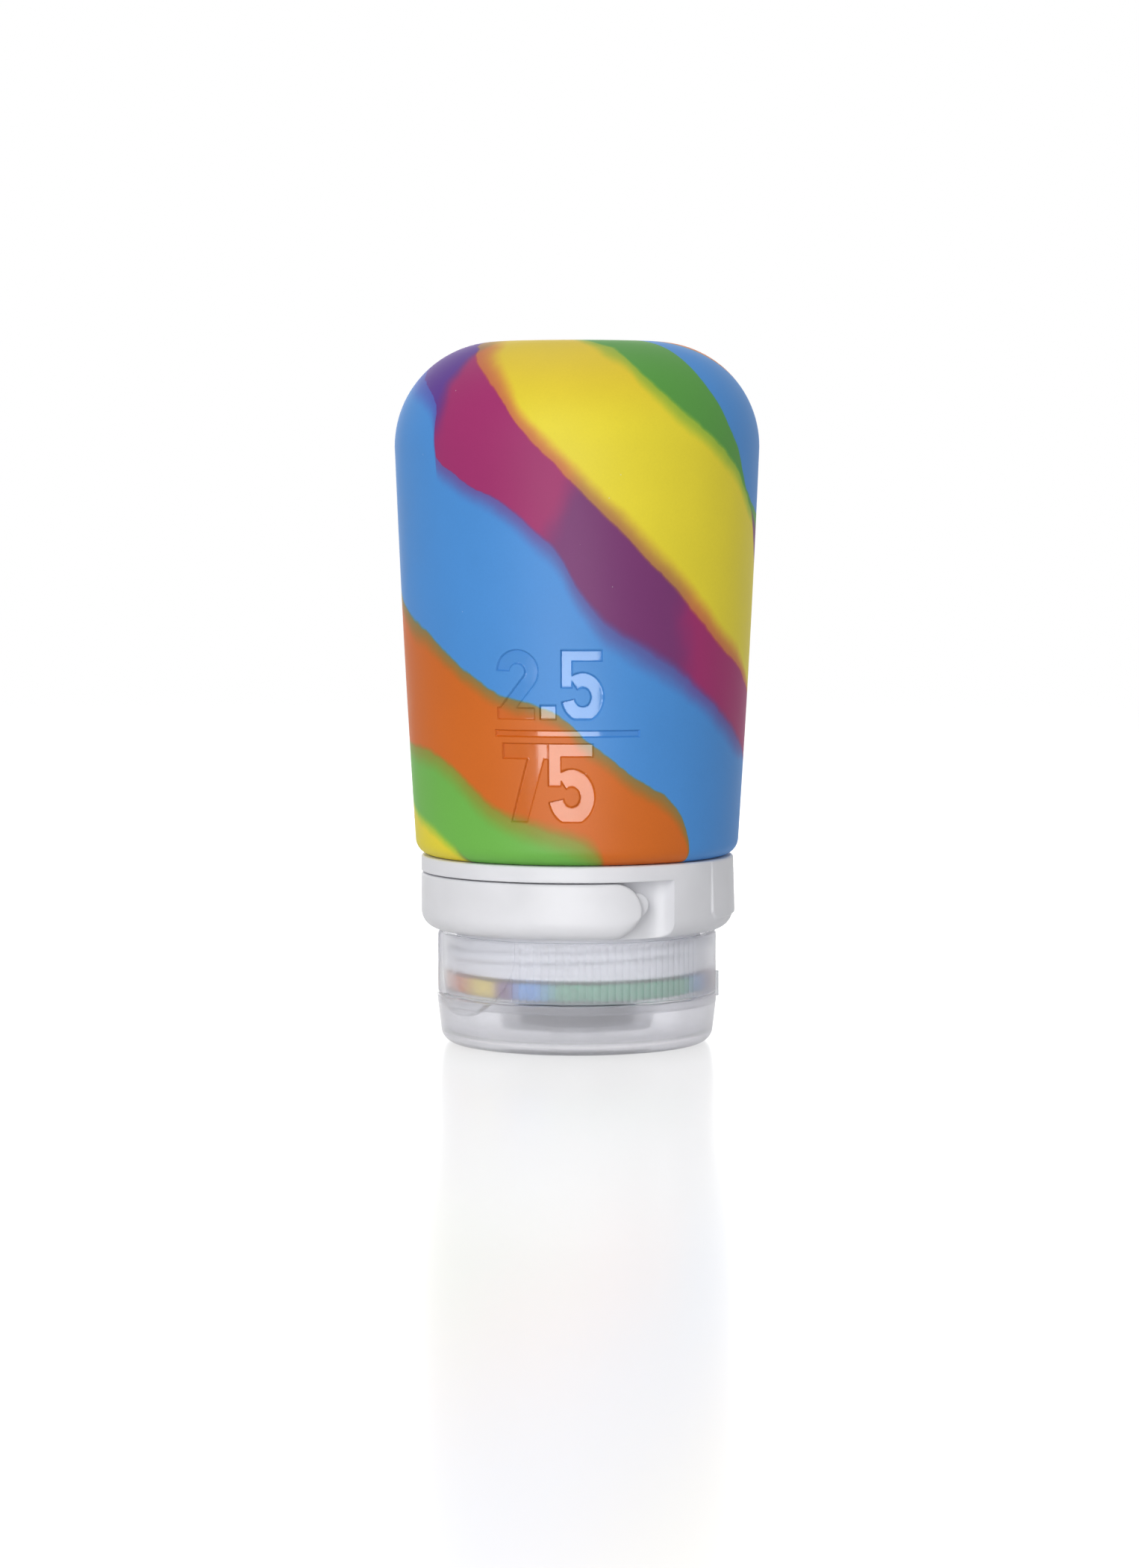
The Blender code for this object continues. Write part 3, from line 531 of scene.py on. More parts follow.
def swirl_colour(tree, place, turn, height):
    """The colour of each place, mixed from border to border."""
    # slow drift and fine feathering of the borders
    drift = noise(tree, place, 0.11, 2.0)
    height = calc(tree, "ADD", height, linear(tree, drift, 1.8, -0.9))
    feather = linear(tree, noise(tree, place, 0.7, 3.0), 0.5, -0.25)
    height = calc(tree, "ADD", height, feather)

    # the borders are looser in patches, and crisp at the right side, where the line round the tube ends
    degrees = linear(tree, turn, 360.0, SWIRL_START_DEG)
    at_side = calc(tree, "MINIMUM", ramp_between(tree, degrees, SWIRL_START_DEG, -235.0, 0.25, 1.0),
                   ramp_between(tree, degrees, SWIRL_END_DEG, 62.0, 0.25, 1.0))
    patchy = linear(tree, noise(tree, place, 0.06, 1.0), 1.2, 0.4)
    loosen = times(tree, patchy, at_side)

    # the band of magenta is purple in its middle, and indigo where it begins at the upper left
    angle = calc(tree, "ADD", degrees, linear(tree, drift, 16.0, -8.0))
    enters = calc(tree, "ADD", angle, times(tree, calc(tree, "SUBTRACT", height, 72.0), -1.2))
    middle = times(tree, ramp_between(tree, enters, -10.0, 0.0), ramp_between(tree, angle, 44.0, 30.0))
    magenta = mix_vector(tree, times(tree, middle, 0.85), dye("magenta"), dye("purple"))
    start = times(tree, ramp_between(tree, angle, -44.0, -54.0), ramp_between(tree, height, 78.0, 84.0))
    changing = {
        "magenta": mix_vector(tree, start, magenta, dye("indigo")),
        "yellow": mix_vector(tree, ramp_between(tree, height, 92.0, 82.0), dye("golden"), dye("yellow")),
        "lime": mix_vector(tree, ramp_between(tree, degrees, -262.0, -200.0), dye("green"), dye("lime")),
    }

    colour = dye("blue")
    for name, left_soft, right_soft, stain, points in SWIRL_BORDERS:
        above = calc(tree, "SUBTRACT", height, border_height(tree, turn, points))
        soft = times(tree, ramp_between(tree, degrees, -50.0, 30.0, left_soft, right_soft), loosen)
        share = ramp_between(tree, above, times(tree, soft, -1.0), soft)
        stained = times(tree, loosen, stain)
        if stain < 0:
            share = calc(tree, "MAXIMUM", share, ramp_between(tree, above, stained, 0.3, 0.0, STAIN))
        else:
            share = calc(tree, "MINIMUM", share, ramp_between(tree, above, -0.3, stained, 1 - STAIN, 1.0))
        colour = mix_vector(tree, share, colour, changing.get(name) or dye(name))
    parts = put(tree, "SeparateXYZ", (colour,)).outputs
    return put(tree, "CombineXYZ", [calc(tree, "EXPONENT", part) for part in parts]).outputs[0]


def lip_colour(tree, turn):
    """The folded lip below the collar shows another stretch of the swirl."""
    lip = put(tree, "ValToRGB", (turn,))
    ramp = lip.color_ramp.elements
    for k, (deg, name) in enumerate(LIP_STOPS):
        at = share_of_turn(deg)
        stop = ramp[k] if k < 2 else ramp.new(at)
        stop.position = at
        stop.color = (*SWIRL_COLOURS[name], 1.0)
    return lip.outputs[0]


def silicone_material():
    """Matte silicone in the swirl's colours; the pressed figures are glossier."""
    material, tree, shader = new_material("swirled_silicone")
    place = place_in_mm(tree)
    axes = put(tree, "SeparateXYZ", (place,)).outputs
    turn, height = swirl_place(tree, axes)
    at_lip = calc(tree, "LESS_THAN", axes[2], LIP_BELOW)
    mixed = mix_colour(tree, at_lip, swirl_colour(tree, place, turn, height), lip_colour(tree, turn))

    grain = grain_on(tree, 0.22, 1.0)
    tone = linear(tree, grain["Patch"], 0.12, 0.90)
    tone = linear(tree, grain["Height"], 0.08, tone)
    toned = put(tree, "VectorMath", {0: mixed, "Scale": tone}, operation="SCALE").outputs[0]
    figure = put(tree, "Attribute", attribute_name="pressed").outputs["Fac"]
    roughness = linear(tree, grain["Patch"], 0.12, 0.46)
    feed(tree, shader, {
        "Base Color": mix_colour(tree, times(tree, grain["Dust Mask"], 0.35), toned, PALE_DUST),
        "Roughness": linear(tree, figure, -0.40, roughness),
        "Normal": grain_bump(tree, grain, 0.2, 0.03),
        "IOR": 1.42,
        "Specular IOR Level": 0.3,
        "Coat Weight": times(tree, figure, 0.15),
        "Coat Roughness": 0.05,
    })
    return material


tube.data.materials.append(silicone_material())
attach(tube, "bottle")
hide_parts("silicone_body")


# Collar
# A rigid ring moulded in white polypropylene. The silicone neck is pulled through it, a pocket round its
# left side holds the hanging loop, and a pad on the right gives grip. The spigot below has the screw thread.

HAIR = 0.01  # the least that tells two places apart
SOFT_STEP = 0.3  # over which raised and sunk outlines slope
COLLAR_RADIUS = 21.05
COLLAR_BORE = 14.4
COLLAR_FOOT = 15.5
COLLAR_FOOT_ROUND = 2.5
EDGE = 0.3  # broken edges of the moulded pieces
RING_UNDER = 23.25  # the pocket's ceiling
RING_LIP_ROUND = 0.2
POCKET_FLOOR = 18.5
POCKET_END_DEG = 29.0
POCKET_COVE = 3.2
POCKET_SOFTEN = 0.5
PIVOT_DEG = -150.0
PIVOT_RADIUS = 19.55
RECESS_RADIUS = 2.63
RECESS_FOOT = 18.1
EAR_TOP = 18.2
EAR_RADIUS = 3.2
PAD_HALF_WIDTH = 11.1
PAD_TOP = 25.2
PAD_FOOT = 17.6
PAD_CHAMFER = 0.9
PAD_PROUD_TOP = 0.08
PAD_PROUD_FOOT = 0.28
STUD_DEG = 23.4
STUD_HEIGHT = 20.12
STUD_RADIUS = 1.6
STUD_END = 20.2
SPIGOT_RADIUS = 16.0
SPIGOT_FOOT = 9.6
THREAD_PITCH = 3.2
THREAD_FOOT = 10.95
THREAD_RADIUS = 0.8
THREAD_FADE_SHARE = 0.08
SPIGOT_THREAD_DEG = 140.0
SPIGOT_THREAD_PROUD = 0.2  # of the ridge's centre line, out of the spigot
COLLAR_STEP_DEG = 1.5
COLLAR_FINE_DEG = 0.25
# the fine stretches are at the pin's recess, the pocket's end and the pad's two sides
COLLAR_FINE_STRETCHES = ((-162.0, -138.0), (28.0, 38.0), (56.0, 60.5), (119.5, 124.0))


def circle_from_axis(turn, middle_deg, middle_radius, radius, outer):
    """How far out the near or far side of an upright circle is, or its middle where a ray misses it."""
    away = turn - math.radians(middle_deg)
    half = np.sqrt(np.clip(radius**2 - (middle_radius * np.sin(away)) ** 2, 0.0, None))
    return middle_radius * np.cos(away) + (half if outer else -half)


def soft_min(a, b, round_off):
    """The smaller of two radii, with the corner where they cross rounded off."""
    return np.minimum(a, b) - np.clip(round_off - np.abs(a - b), 0.0, None) ** 2 / (4 * round_off)


def thread_ridge(turn, height, start_deg):
    """How far the rounded screw ridge stands above its own centre line; below 0 there is none."""
    share = ((np.degrees(turn) - start_deg) % 360.0) / 360.0
    rise = THREAD_FOOT + share * THREAD_PITCH - height
    fade = np.clip(np.minimum(share, 1 - share) / THREAD_FADE_SHARE, 0.0, 1.0)
    ridge = np.sqrt(np.clip(THREAD_RADIUS**2 - rise**2, 0.0, None))
    return ridge - (1 - np.sqrt(fade)) * THREAD_RADIUS


def strap_pocket(turn, height):
    """Radius that the pocket, the pin's recess and the ear below it leave to the collar."""
    deg = np.degrees(turn)
    from_pivot = deg - PIVOT_DEG
    cove = circle_from_axis(turn, POCKET_END_DEG, POCKET_FLOOR + POCKET_COVE, POCKET_COVE, False)
    cove_reach = math.degrees(math.asin(POCKET_COVE / (POCKET_FLOOR + POCKET_COVE)))
    wall = np.where(deg < POCKET_END_DEG, POCKET_FLOOR, cove)
    wall = np.where((from_pivot < 0) | (deg > POCKET_END_DEG + cove_reach), FAR, wall)
    recess_reach = math.degrees(math.acos(
        (COLLAR_RADIUS**2 + PIVOT_RADIUS**2 - RECESS_RADIUS**2) / (2 * COLLAR_RADIUS * PIVOT_RADIUS)))
    recess = circle_from_axis(turn, PIVOT_DEG, PIVOT_RADIUS, RECESS_RADIUS, False)
    in_recess = (np.abs(from_pivot) < recess_reach + 0.01) & (height > RECESS_FOOT)
    wall = np.where(in_recess, np.minimum(wall, recess), wall)
    ear_reach = math.degrees(math.asin(EAR_RADIUS / PIVOT_RADIUS))
    ear = circle_from_axis(turn, PIVOT_DEG, PIVOT_RADIUS, EAR_RADIUS, True)
    in_ear = (np.abs(from_pivot) < ear_reach) & (height < EAR_TOP)
    wall = np.where(in_ear, np.where(from_pivot < 0, FAR, ear), wall)
    return np.where(height < RING_UNDER, wall, FAR)


def grip_pad(turn, height):
    """How far the raised pad stands out of the collar."""
    side = np.abs(COLLAR_RADIUS * np.sin(turn - math.radians(90.0)))
    outside = np.maximum(side - PAD_HALF_WIDTH, np.maximum(PAD_FOOT - height, height - PAD_TOP))
    corner = (side - PAD_HALF_WIDTH + PAD_FOOT - height + PAD_CHAMFER) / math.sqrt(2)
    outside = np.maximum(outside, corner)
    outside = np.where(np.sin(turn) > 0, outside, FAR)
    share = (height - PAD_FOOT) / (PAD_TOP - PAD_FOOT)
    proud = PAD_PROUD_FOOT + (PAD_PROUD_TOP - PAD_PROUD_FOOT) * share
    return proud * within(outside, SOFT_STEP)


def collar_shape(turn, radius, height):
    """Cuts the pocket, raises the pad and winds the thread."""
    skin = (radius > SPIGOT_RADIUS + 1.0) & (height > COLLAR_FOOT - HAIR)
    cut = soft_min(radius, strap_pocket(turn, height), POCKET_SOFTEN)
    over_pocket = strap_pocket(turn, np.full_like(height, RING_UNDER - HAIR)) < COLLAR_RADIUS
    lip = np.clip((RING_UNDER + RING_LIP_ROUND - height) / RING_LIP_ROUND, 0.0, 1.0)
    rounded = cut - RING_LIP_ROUND * (1 - np.sqrt(1 - lip**2))
    cut = np.where(over_pocket & (height >= RING_UNDER), rounded, cut) + grip_pad(turn, height)
    spigot = (np.abs(radius - SPIGOT_RADIUS) < HAIR) & (height < COLLAR_FOOT - HAIR)
    ridge = np.maximum(thread_ridge(turn, height, SPIGOT_THREAD_DEG) + SPIGOT_THREAD_PROUD, 0.0)
    return np.where(skin, cut, np.where(spigot, radius + ridge, radius)), height


def steps_down(start, end, step):
    return np.linspace(start, end, max(2, round((start - end) / step) + 1))


def upright(radius, start, end, step):
    """Profile points down a straight upright side, about a step apart."""
    return [(radius, z) for z in steps_down(start, end, step)]


def collar_profile():
    points = top_corner(COLLAR_RADIUS, collar_top, EDGE, 4)
    points += upright(COLLAR_RADIUS, collar_top - 0.5, RING_UNDER + RING_LIP_ROUND, 0.3)
    points += [(COLLAR_RADIUS, RING_UNDER + RING_LIP_ROUND * k) for k in (0.7, 0.4, 0.2, 0.05, 0.0)]
    points += upright(COLLAR_RADIUS, RING_UNDER - 2 * HAIR, EAR_TOP + 2 * HAIR, 0.3)
    points += [(COLLAR_RADIUS, EAR_TOP - 2 * HAIR)]
    points += foot_corner(COLLAR_RADIUS, COLLAR_FOOT, COLLAR_FOOT_ROUND, 14)
    points += [(SPIGOT_RADIUS + 0.2, COLLAR_FOOT)]
    points += upright(SPIGOT_RADIUS, COLLAR_FOOT - 0.2, SPIGOT_FOOT + EDGE, 0.2)
    points += [(SPIGOT_RADIUS - EDGE, SPIGOT_FOOT), (COLLAR_BORE, SPIGOT_FOOT), (COLLAR_BORE, collar_top)]
    return points


def merged(obj, extra):
    """Adds another object's mesh to this one and removes the other object."""
    bm = bmesh.new()
    bm.from_mesh(obj.data)
    bm.from_mesh(extra.data)
    bm.to_mesh(obj.data)
    bm.free()
    bpy.data.objects.remove(extra)
    return smooth(obj)


def stud():
    """Round stud on the pocket's floor, turned about a line that runs outwards."""
    profile = [(0.0, STUD_END)] + top_corner(STUD_RADIUS, STUD_END, EDGE, 4)
    profile += [(STUD_RADIUS, POCKET_FLOOR - EDGE), (0.0, POCKET_FLOOR - EDGE)]
    made = turned("stud", profile, even_angles(10.0))
    out = Vector(round_axis(math.radians(STUD_DEG), 1.0, 0.0))
    lay_down = out.to_track_quat("Z", "Y").to_matrix().to_4x4()
    made.data.transform(Matrix.Translation((0, 0, STUD_HEIGHT * MM)) @ lay_down)
    return made


collar_fine = [(start, end, COLLAR_FINE_DEG) for start, end in COLLAR_FINE_STRETCHES]
collar_angles = even_angles(COLLAR_STEP_DEG, collar_fine)
collar = merged(turned("collar_ring", collar_profile(), collar_angles, collar_shape), stud())


def shade(colour, factor=1.0):
    """A colour made lighter or darker, as the nodes take it."""
    return (*(c * factor for c in colour), 1.0)


def white_plastic(name, colour, roughness):
    """Soft-gloss moulded plastic with faint flow patches and fine grain."""
    material, tree, shader = new_material(name)
    grain = grain_on(tree, 0.18, 0.6)
    flow = ramp_between(tree, grain["Patch"], 0.3, 0.7)
    tint = mix_colour(tree, flow, shade(colour, 0.96), shade(colour, 1.03))
    dust = times(tree, grain["Dust Mask"], 0.25)
    feed(tree, shader, {
        "Base Color": mix_colour(tree, dust, tint, (0.5, 0.5, 0.52, 1.0)),
        "Roughness": linear(tree, flow, 0.08, roughness - 0.04),
        "Normal": grain_bump(tree, grain, 0.06, 0.02),
        "IOR": 1.49,
        "Specular IOR Level": 0.25,
    })
    return material


collar.data.materials.append(white_plastic("white_collar_plastic", (0.765, 0.768, 0.80), 0.44))
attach(collar, "bottle")
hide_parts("collar")


# Loop strap and its pin
# A stiff curved strap of white nylon. It lies flush in the collar's pocket with its round tip snapped over a
# stud, and swings out on a plain steel pin at the back left, so that the bottle can be hung up.

STRAP_INSIDE = 18.8
STRAP_TOP = 23.05
STRAP_TIP_DEG = 24.2
STRAP_EDGE = 0.4
STRAP_UNDER = 18.5  # of its arm above the ear
STRAP_ROOM_RADIUS = 3.5  # about the pin, where the arm is raised
KNUCKLE_RADIUS = 1.5
PIN_HOLE_RADIUS = 0.9
SLOT_DEG = 21.6  # of its round end
SLOT_HALF = 1.9
SLOT_SKIN = 0.5
SLOT_REACH_DEG = 15.0  # the most that the slot reaches from its round end
ARM_RAISED_DEG = 9.6  # past the pin, as far as the arm is raised above the ear
ARM_PULLED_DEG = 5.0  # to either side of that, where the mesh is pulled to the room about the pin
ARM_EVEN_DEG = 18.0  # past the pin, where the even columns begin


def strap_mesh():
    """A curved bar over a grid of angles and outline points, shaped at its tip, slot and knuckle."""
    half = (STRAP_TOP - COLLAR_FOOT) / 2
    middle = COLLAR_FOOT + half
    tip_middle = STRAP_TIP_DEG - math.degrees(math.asin(half / COLLAR_RADIUS))
    round_middle = COLLAR_RADIUS - COLLAR_FOOT_ROUND
    foot_end = -math.degrees(math.acos((STRAP_INSIDE - round_middle) / COLLAR_FOOT_ROUND))
    profile = [(STRAP_INSIDE, STRAP_TOP)] + top_corner(COLLAR_RADIUS, STRAP_TOP, STRAP_EDGE, 5)
    profile += upright(COLLAR_RADIUS, STRAP_TOP - 0.6, STRAP_UNDER, 0.35)
    profile += arc(round_middle, COLLAR_FOOT + COLLAR_FOOT_ROUND, COLLAR_FOOT_ROUND, 0, foot_end, 14)
    profile += upright(STRAP_INSIDE, STRAP_TOP, profile[-1][1], 0.25)[::-1][1:-1]

    knuckle_deg = math.degrees(math.asin(KNUCKLE_RADIUS / PIVOT_RADIUS))
    tip_turn = np.linspace(0, math.pi / 2, 16)[1:]
    body_deg = np.concatenate([
        PIVOT_DEG - knuckle_deg * np.cos(np.linspace(0, math.pi / 2, 9)),
        PIVOT_DEG + np.linspace(0, ARM_RAISED_DEG, 20)[1:],
        PIVOT_DEG + np.linspace(ARM_RAISED_DEG + 0.02, ARM_EVEN_DEG, 12),
        np.linspace(PIVOT_DEG + ARM_EVEN_DEG, tip_middle, 90)[1:],
    ])
    tip_deg = tip_middle + np.degrees(np.arcsin(half * np.sin(tip_turn) / COLLAR_RADIUS))
    deg = np.concatenate([body_deg, tip_deg])[:, None] + np.zeros(len(profile))
    squeeze = np.concatenate([np.ones(len(body_deg)), np.cos(tip_turn)])[:, None]
    radius, height = np.array(profile).T[:, None] + np.zeros_like(deg)
    height = middle + (height - middle) * squeeze
    inner = radius < STRAP_INSIDE + 0.1 * HAIR

    # the catch slot in the inner face, open at the tip
    along = COLLAR_RADIUS * np.sin(np.radians(deg - SLOT_DEG))
    across = height - STUD_HEIGHT
    from_slot = np.where(along > 0, np.abs(across), np.hypot(along, across)) - SLOT_HALF
    depth = within(from_slot, SOFT_STEP) * (np.abs(deg - SLOT_DEG) < SLOT_REACH_DEG)
    radius = np.where(inner, radius + depth * (COLLAR_RADIUS - SLOT_SKIN - STRAP_INSIDE), radius)

    # soft edge round the tip
    off_middle = np.where(deg > tip_middle, COLLAR_RADIUS * np.sin(np.radians(deg - tip_middle)), 0.0)
    inset = np.clip(half - np.hypot(off_middle, height - middle), 0.0, STRAP_EDGE)
    rounded = COLLAR_RADIUS - STRAP_EDGE + np.sqrt(STRAP_EDGE**2 - (STRAP_EDGE - inset) ** 2)
    radius = np.where((deg > tip_middle) & ~inner, np.minimum(radius, rounded), radius)

    # the round knuckle at the pin, and the arm raised above the ear
    turn = np.radians(deg)
    near = np.minimum(circle_from_axis(turn, PIVOT_DEG, PIVOT_RADIUS, KNUCKLE_RADIUS, False), STRAP_INSIDE)
    far = circle_from_axis(turn, PIVOT_DEG, PIVOT_RADIUS, KNUCKLE_RADIUS, True)
    from_pivot = deg - PIVOT_DEG
    share = (radius - STRAP_INSIDE) / (COLLAR_RADIUS - STRAP_INSIDE)
    knuckle = near + share * (np.where(from_pivot <= 0, far, COLLAR_RADIUS) - near)
    radius = np.where(np.abs(from_pivot) <= knuckle_deg + 0.001, knuckle, radius)
    room = (radius**2 + PIVOT_RADIUS**2 - STRAP_ROOM_RADIUS**2) / (2 * radius * PIVOT_RADIUS)
    pull = np.clip(1 - np.abs(from_pivot - ARM_RAISED_DEG) / ARM_PULLED_DEG, 0.0, 1.0)
    turn = np.radians(deg + (np.degrees(np.arccos(room)) - ARM_RAISED_DEG) * pull)
    height = np.where(from_pivot <= ARM_RAISED_DEG, np.maximum(height, STRAP_UNDER), height)
    return grid_object("strap", round_axis(turn, radius, height), close_turn=False)


def drilled(obj, radius, low, high, place):
    """Cuts a round upright hole through an object."""
    tool = turned("drill", [(0.0, high), (radius, high), (radius, low), (0.0, low)], even_angles(10.0))
    tool.data.transform(Matrix.Translation(Vector(place) * MM))
    step = obj.modifiers.new("hole", "BOOLEAN")
    step.object = tool
    step.solver = "EXACT"
    bpy.context.view_layer.update()
    depsgraph = bpy.context.evaluated_depsgraph_get()
    mesh = bpy.data.meshes.new_from_object(obj.evaluated_get(depsgraph))
    obj.modifiers.clear()
    obj.data = mesh
    bpy.data.objects.remove(tool)
    return smooth(obj)


pivot = round_axis(math.radians(PIVOT_DEG), PIVOT_RADIUS, 0.0)
strap = drilled(strap_mesh(), PIN_HOLE_RADIUS, COLLAR_FOOT, STRAP_TOP + 1.0, pivot)
strap.data.materials.clear()
strap.data.materials.append(white_plastic("white_loop_plastic", (0.765, 0.766, 0.795), 0.40))
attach(strap, "loop")
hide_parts("loop_strap")


def drawn_steel():
    """Plain steel with fine lines along the pin."""
    material, tree, shader = new_material("drawn_steel")
    squash = put(tree, "VectorMath", (place_in_mm(tree), (6.0, 6.0, 0.4)), operation="MULTIPLY")
    lines = noise(tree, squash.outputs[0], 2.0, 2.0)
    feed(tree, shader, {
        "Base Color": mix_colour(tree, lines, (0.45, 0.45, 0.47, 1.0), (0.66, 0.66, 0.68, 1.0)),
        "Roughness": linear(tree, lines, 0.2, 0.2),
        "Metallic": 1.0,
    })
    return material


def dress(node_name, material):
    """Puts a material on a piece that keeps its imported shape."""
    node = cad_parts[node_name]
    node.data.materials.clear()
    node.data.materials.append(material)


dress("loop_pin", drawn_steel())


# Screw cap
# A cap of frosted natural polypropylene, moulded in one piece: a ribbed skirt with an inside thread, a deck
# with a sealing ring, the valve's round housing below it, a shallow thumb scoop and the boss for the hinge.

SKIRT_RADIUS = 18.8
SKIRT_TOP = 15.0
SKIRT_FOOT = 7.0
SKIRT_BORE = 17.5
SEAT_RADIUS = 17.5
DECK_UNDER = 5.4
DECK_TOP = 6.7
HOUSING_RADIUS = 8.0
HOUSING_DRAFT = 0.25
HOUSING_END = 2.6
HOUSING_BORE = 6.6
VALVE_SEAT = 3.6
SPOUT_RADIUS = 3.3
SEAL_RADIUS = 12.0
SEAL_WALL = 0.9
SEAL_TOP = 8.9
FOLD_ROOM_RADIUS = 16.8
FOLD_TOP = 9.3
CAP_THREAD_DEG = -40.0
CAP_THREAD_SUNK = 0.1  # of the ridge's centre line, in the skirt's wall
RIB_PITCH_DEG = 3.1
RIB_DEPTH = 0.2
RIB_RUNOUT = 0.5  # over which the grooves end, a little before the skirt's ends
RIB_PATCHES_DEG = ((-27.5, 57.8), (-167.0, -81.7))
THUMB_DEG = -55.0
SCOOP_RADIUS = 9.0
SCOOP_MIDDLE = 13.6
SCOOP_DEPTH = 0.5
HINGE_DEG = 125.0
BOSS_HALF_WIDTH = 6.3
BOSS_FACE = 18.8
CAP_BOSS = (7.15, 9.85)
CAP_STEP_DEG = 2.0


def ribs(turn, height):
    """How deep the grooves between the ribs are; each rib has a rounded end."""
    deg = np.degrees(turn)
    depth = np.zeros_like(deg)
    for start, end in RIB_PATCHES_DEG:
        wave = 0.5 - 0.5 * np.cos(math.tau * (deg - start) / RIB_PITCH_DEG)
        depth = np.where((deg > start) & (deg < end), 1 - np.sqrt(wave), depth)
    ends = np.minimum(height - SKIRT_FOOT, SKIRT_TOP - height)
    return depth * RIB_DEPTH * ease(ends / RIB_RUNOUT)


def thumb_outline(turn, height, surface):
    """Distance outside the round outline that the scoop and the lid's lip share."""
    side = surface * np.sin(turn - math.radians(THUMB_DEG))
    outside = np.hypot(side, height - SCOOP_MIDDLE) - SCOOP_RADIUS
    return np.where(np.cos(turn - math.radians(THUMB_DEG)) > 0, outside, FAR)


def hinge_boss(turn, height, radius, span):
    """Radius with the flat-faced boss that an end of the hinge band is moulded to."""
    away = turn - math.radians(HINGE_DEG)
    flat = BOSS_FACE / np.maximum(np.cos(away), 0.5)
    side = np.abs(BOSS_FACE * np.tan(np.clip(away, -1.0, 1.0)))
    on_boss = (side < BOSS_HALF_WIDTH + 0.1 * HAIR) & (np.cos(away) > 0.7)
    on_boss = on_boss & (height > span[0] - 0.1 * HAIR) & (height < span[1] + 0.1 * HAIR)
    return np.where(on_boss, np.maximum(radius, flat), radius)


def cap_shape(turn, radius, height):
    """Sinks the grooves and the scoop, raises the boss and winds the inside thread."""
    skin = (radius > SKIRT_RADIUS - EDGE - HAIR) & (height > SKIRT_FOOT - HAIR)
    scoop = within(thumb_outline(turn, height, SKIRT_RADIUS), SOFT_STEP) * SCOOP_DEPTH
    outside = hinge_boss(turn, height, radius - ribs(turn, height) - scoop, CAP_BOSS)
    bore = (np.abs(radius - SKIRT_BORE) < HAIR) & (height > SPIGOT_FOOT)
    ridge = np.maximum(thread_ridge(turn, height, CAP_THREAD_DEG) - CAP_THREAD_SUNK, 0.0)
    return np.where(skin, outside, np.where(bore, radius - ridge, radius)), height


def cap_profile():
    boss_foot, boss_top = CAP_BOSS
    points = top_corner(SKIRT_RADIUS, SKIRT_TOP, EDGE, 4)
    points += upright(SKIRT_RADIUS, SKIRT_TOP - 0.5, boss_top + 2 * HAIR, 0.25)
    points += upright(SKIRT_RADIUS, boss_top, boss_foot, 0.3)
    points += [(SKIRT_RADIUS, boss_foot - 2 * HAIR)] + foot_corner(SKIRT_RADIUS, SKIRT_FOOT, 0.1, 2)
    points += [(SEAT_RADIUS, SKIRT_FOOT), (SEAT_RADIUS, DECK_UNDER + EDGE), (SEAT_RADIUS - EDGE, DECK_UNDER)]
    points += [(HOUSING_RADIUS + EDGE, DECK_UNDER), (HOUSING_RADIUS, DECK_UNDER - EDGE)]
    points += foot_corner(HOUSING_RADIUS - HOUSING_DRAFT, HOUSING_END, EDGE, 4)
    points += [(SPOUT_RADIUS, HOUSING_END), (SPOUT_RADIUS, VALVE_SEAT), (HOUSING_BORE, VALVE_SEAT)]
    seal_bore = SEAL_RADIUS - SEAL_WALL
    points += [(HOUSING_BORE, DECK_TOP), (seal_bore, DECK_TOP), (seal_bore, SEAL_TOP)]
    points += [(SEAL_RADIUS, SEAL_TOP), (SEAL_RADIUS, DECK_TOP)]
    points += [(FOLD_ROOM_RADIUS, DECK_TOP), (FOLD_ROOM_RADIUS, FOLD_TOP), (SKIRT_BORE, SPIGOT_FOOT)]
    return points + upright(SKIRT_BORE, SKIRT_TOP, SPIGOT_FOOT + 0.1, 0.22)[::-1]


boss_deg = math.degrees(math.atan(BOSS_HALF_WIDTH / BOSS_FACE))
boss_columns = [(HINGE_DEG - boss_deg, HINGE_DEG + boss_deg, boss_deg / 8),
                (HINGE_DEG - boss_deg - 0.1, HINGE_DEG - boss_deg, 0.05),
                (HINGE_DEG + boss_deg, HINGE_DEG + boss_deg + 0.1, 0.05)]
rib_columns = [(start, end, RIB_PITCH_DEG / 10) for start, end in RIB_PATCHES_DEG]
scoop_columns = [(-81.0, -28.0, 0.8)]
cap_angles = even_angles(CAP_STEP_DEG, rib_columns + boss_columns + scoop_columns)
cap = turned("cap", cap_profile(), cap_angles, cap_shape)


INNER_VEIL = 0.4  # of the smooth inside faces
INNER_COLOUR = (0.72, 0.74, 0.80, 1.0)
HOUSING_VALVE_AND_SHADE_COLOUR = (0.20, 0.205, 0.24, 1.0)  # painted on the valve's housing: the grey valve disc seen through it, deepened by painted shade inside the cap
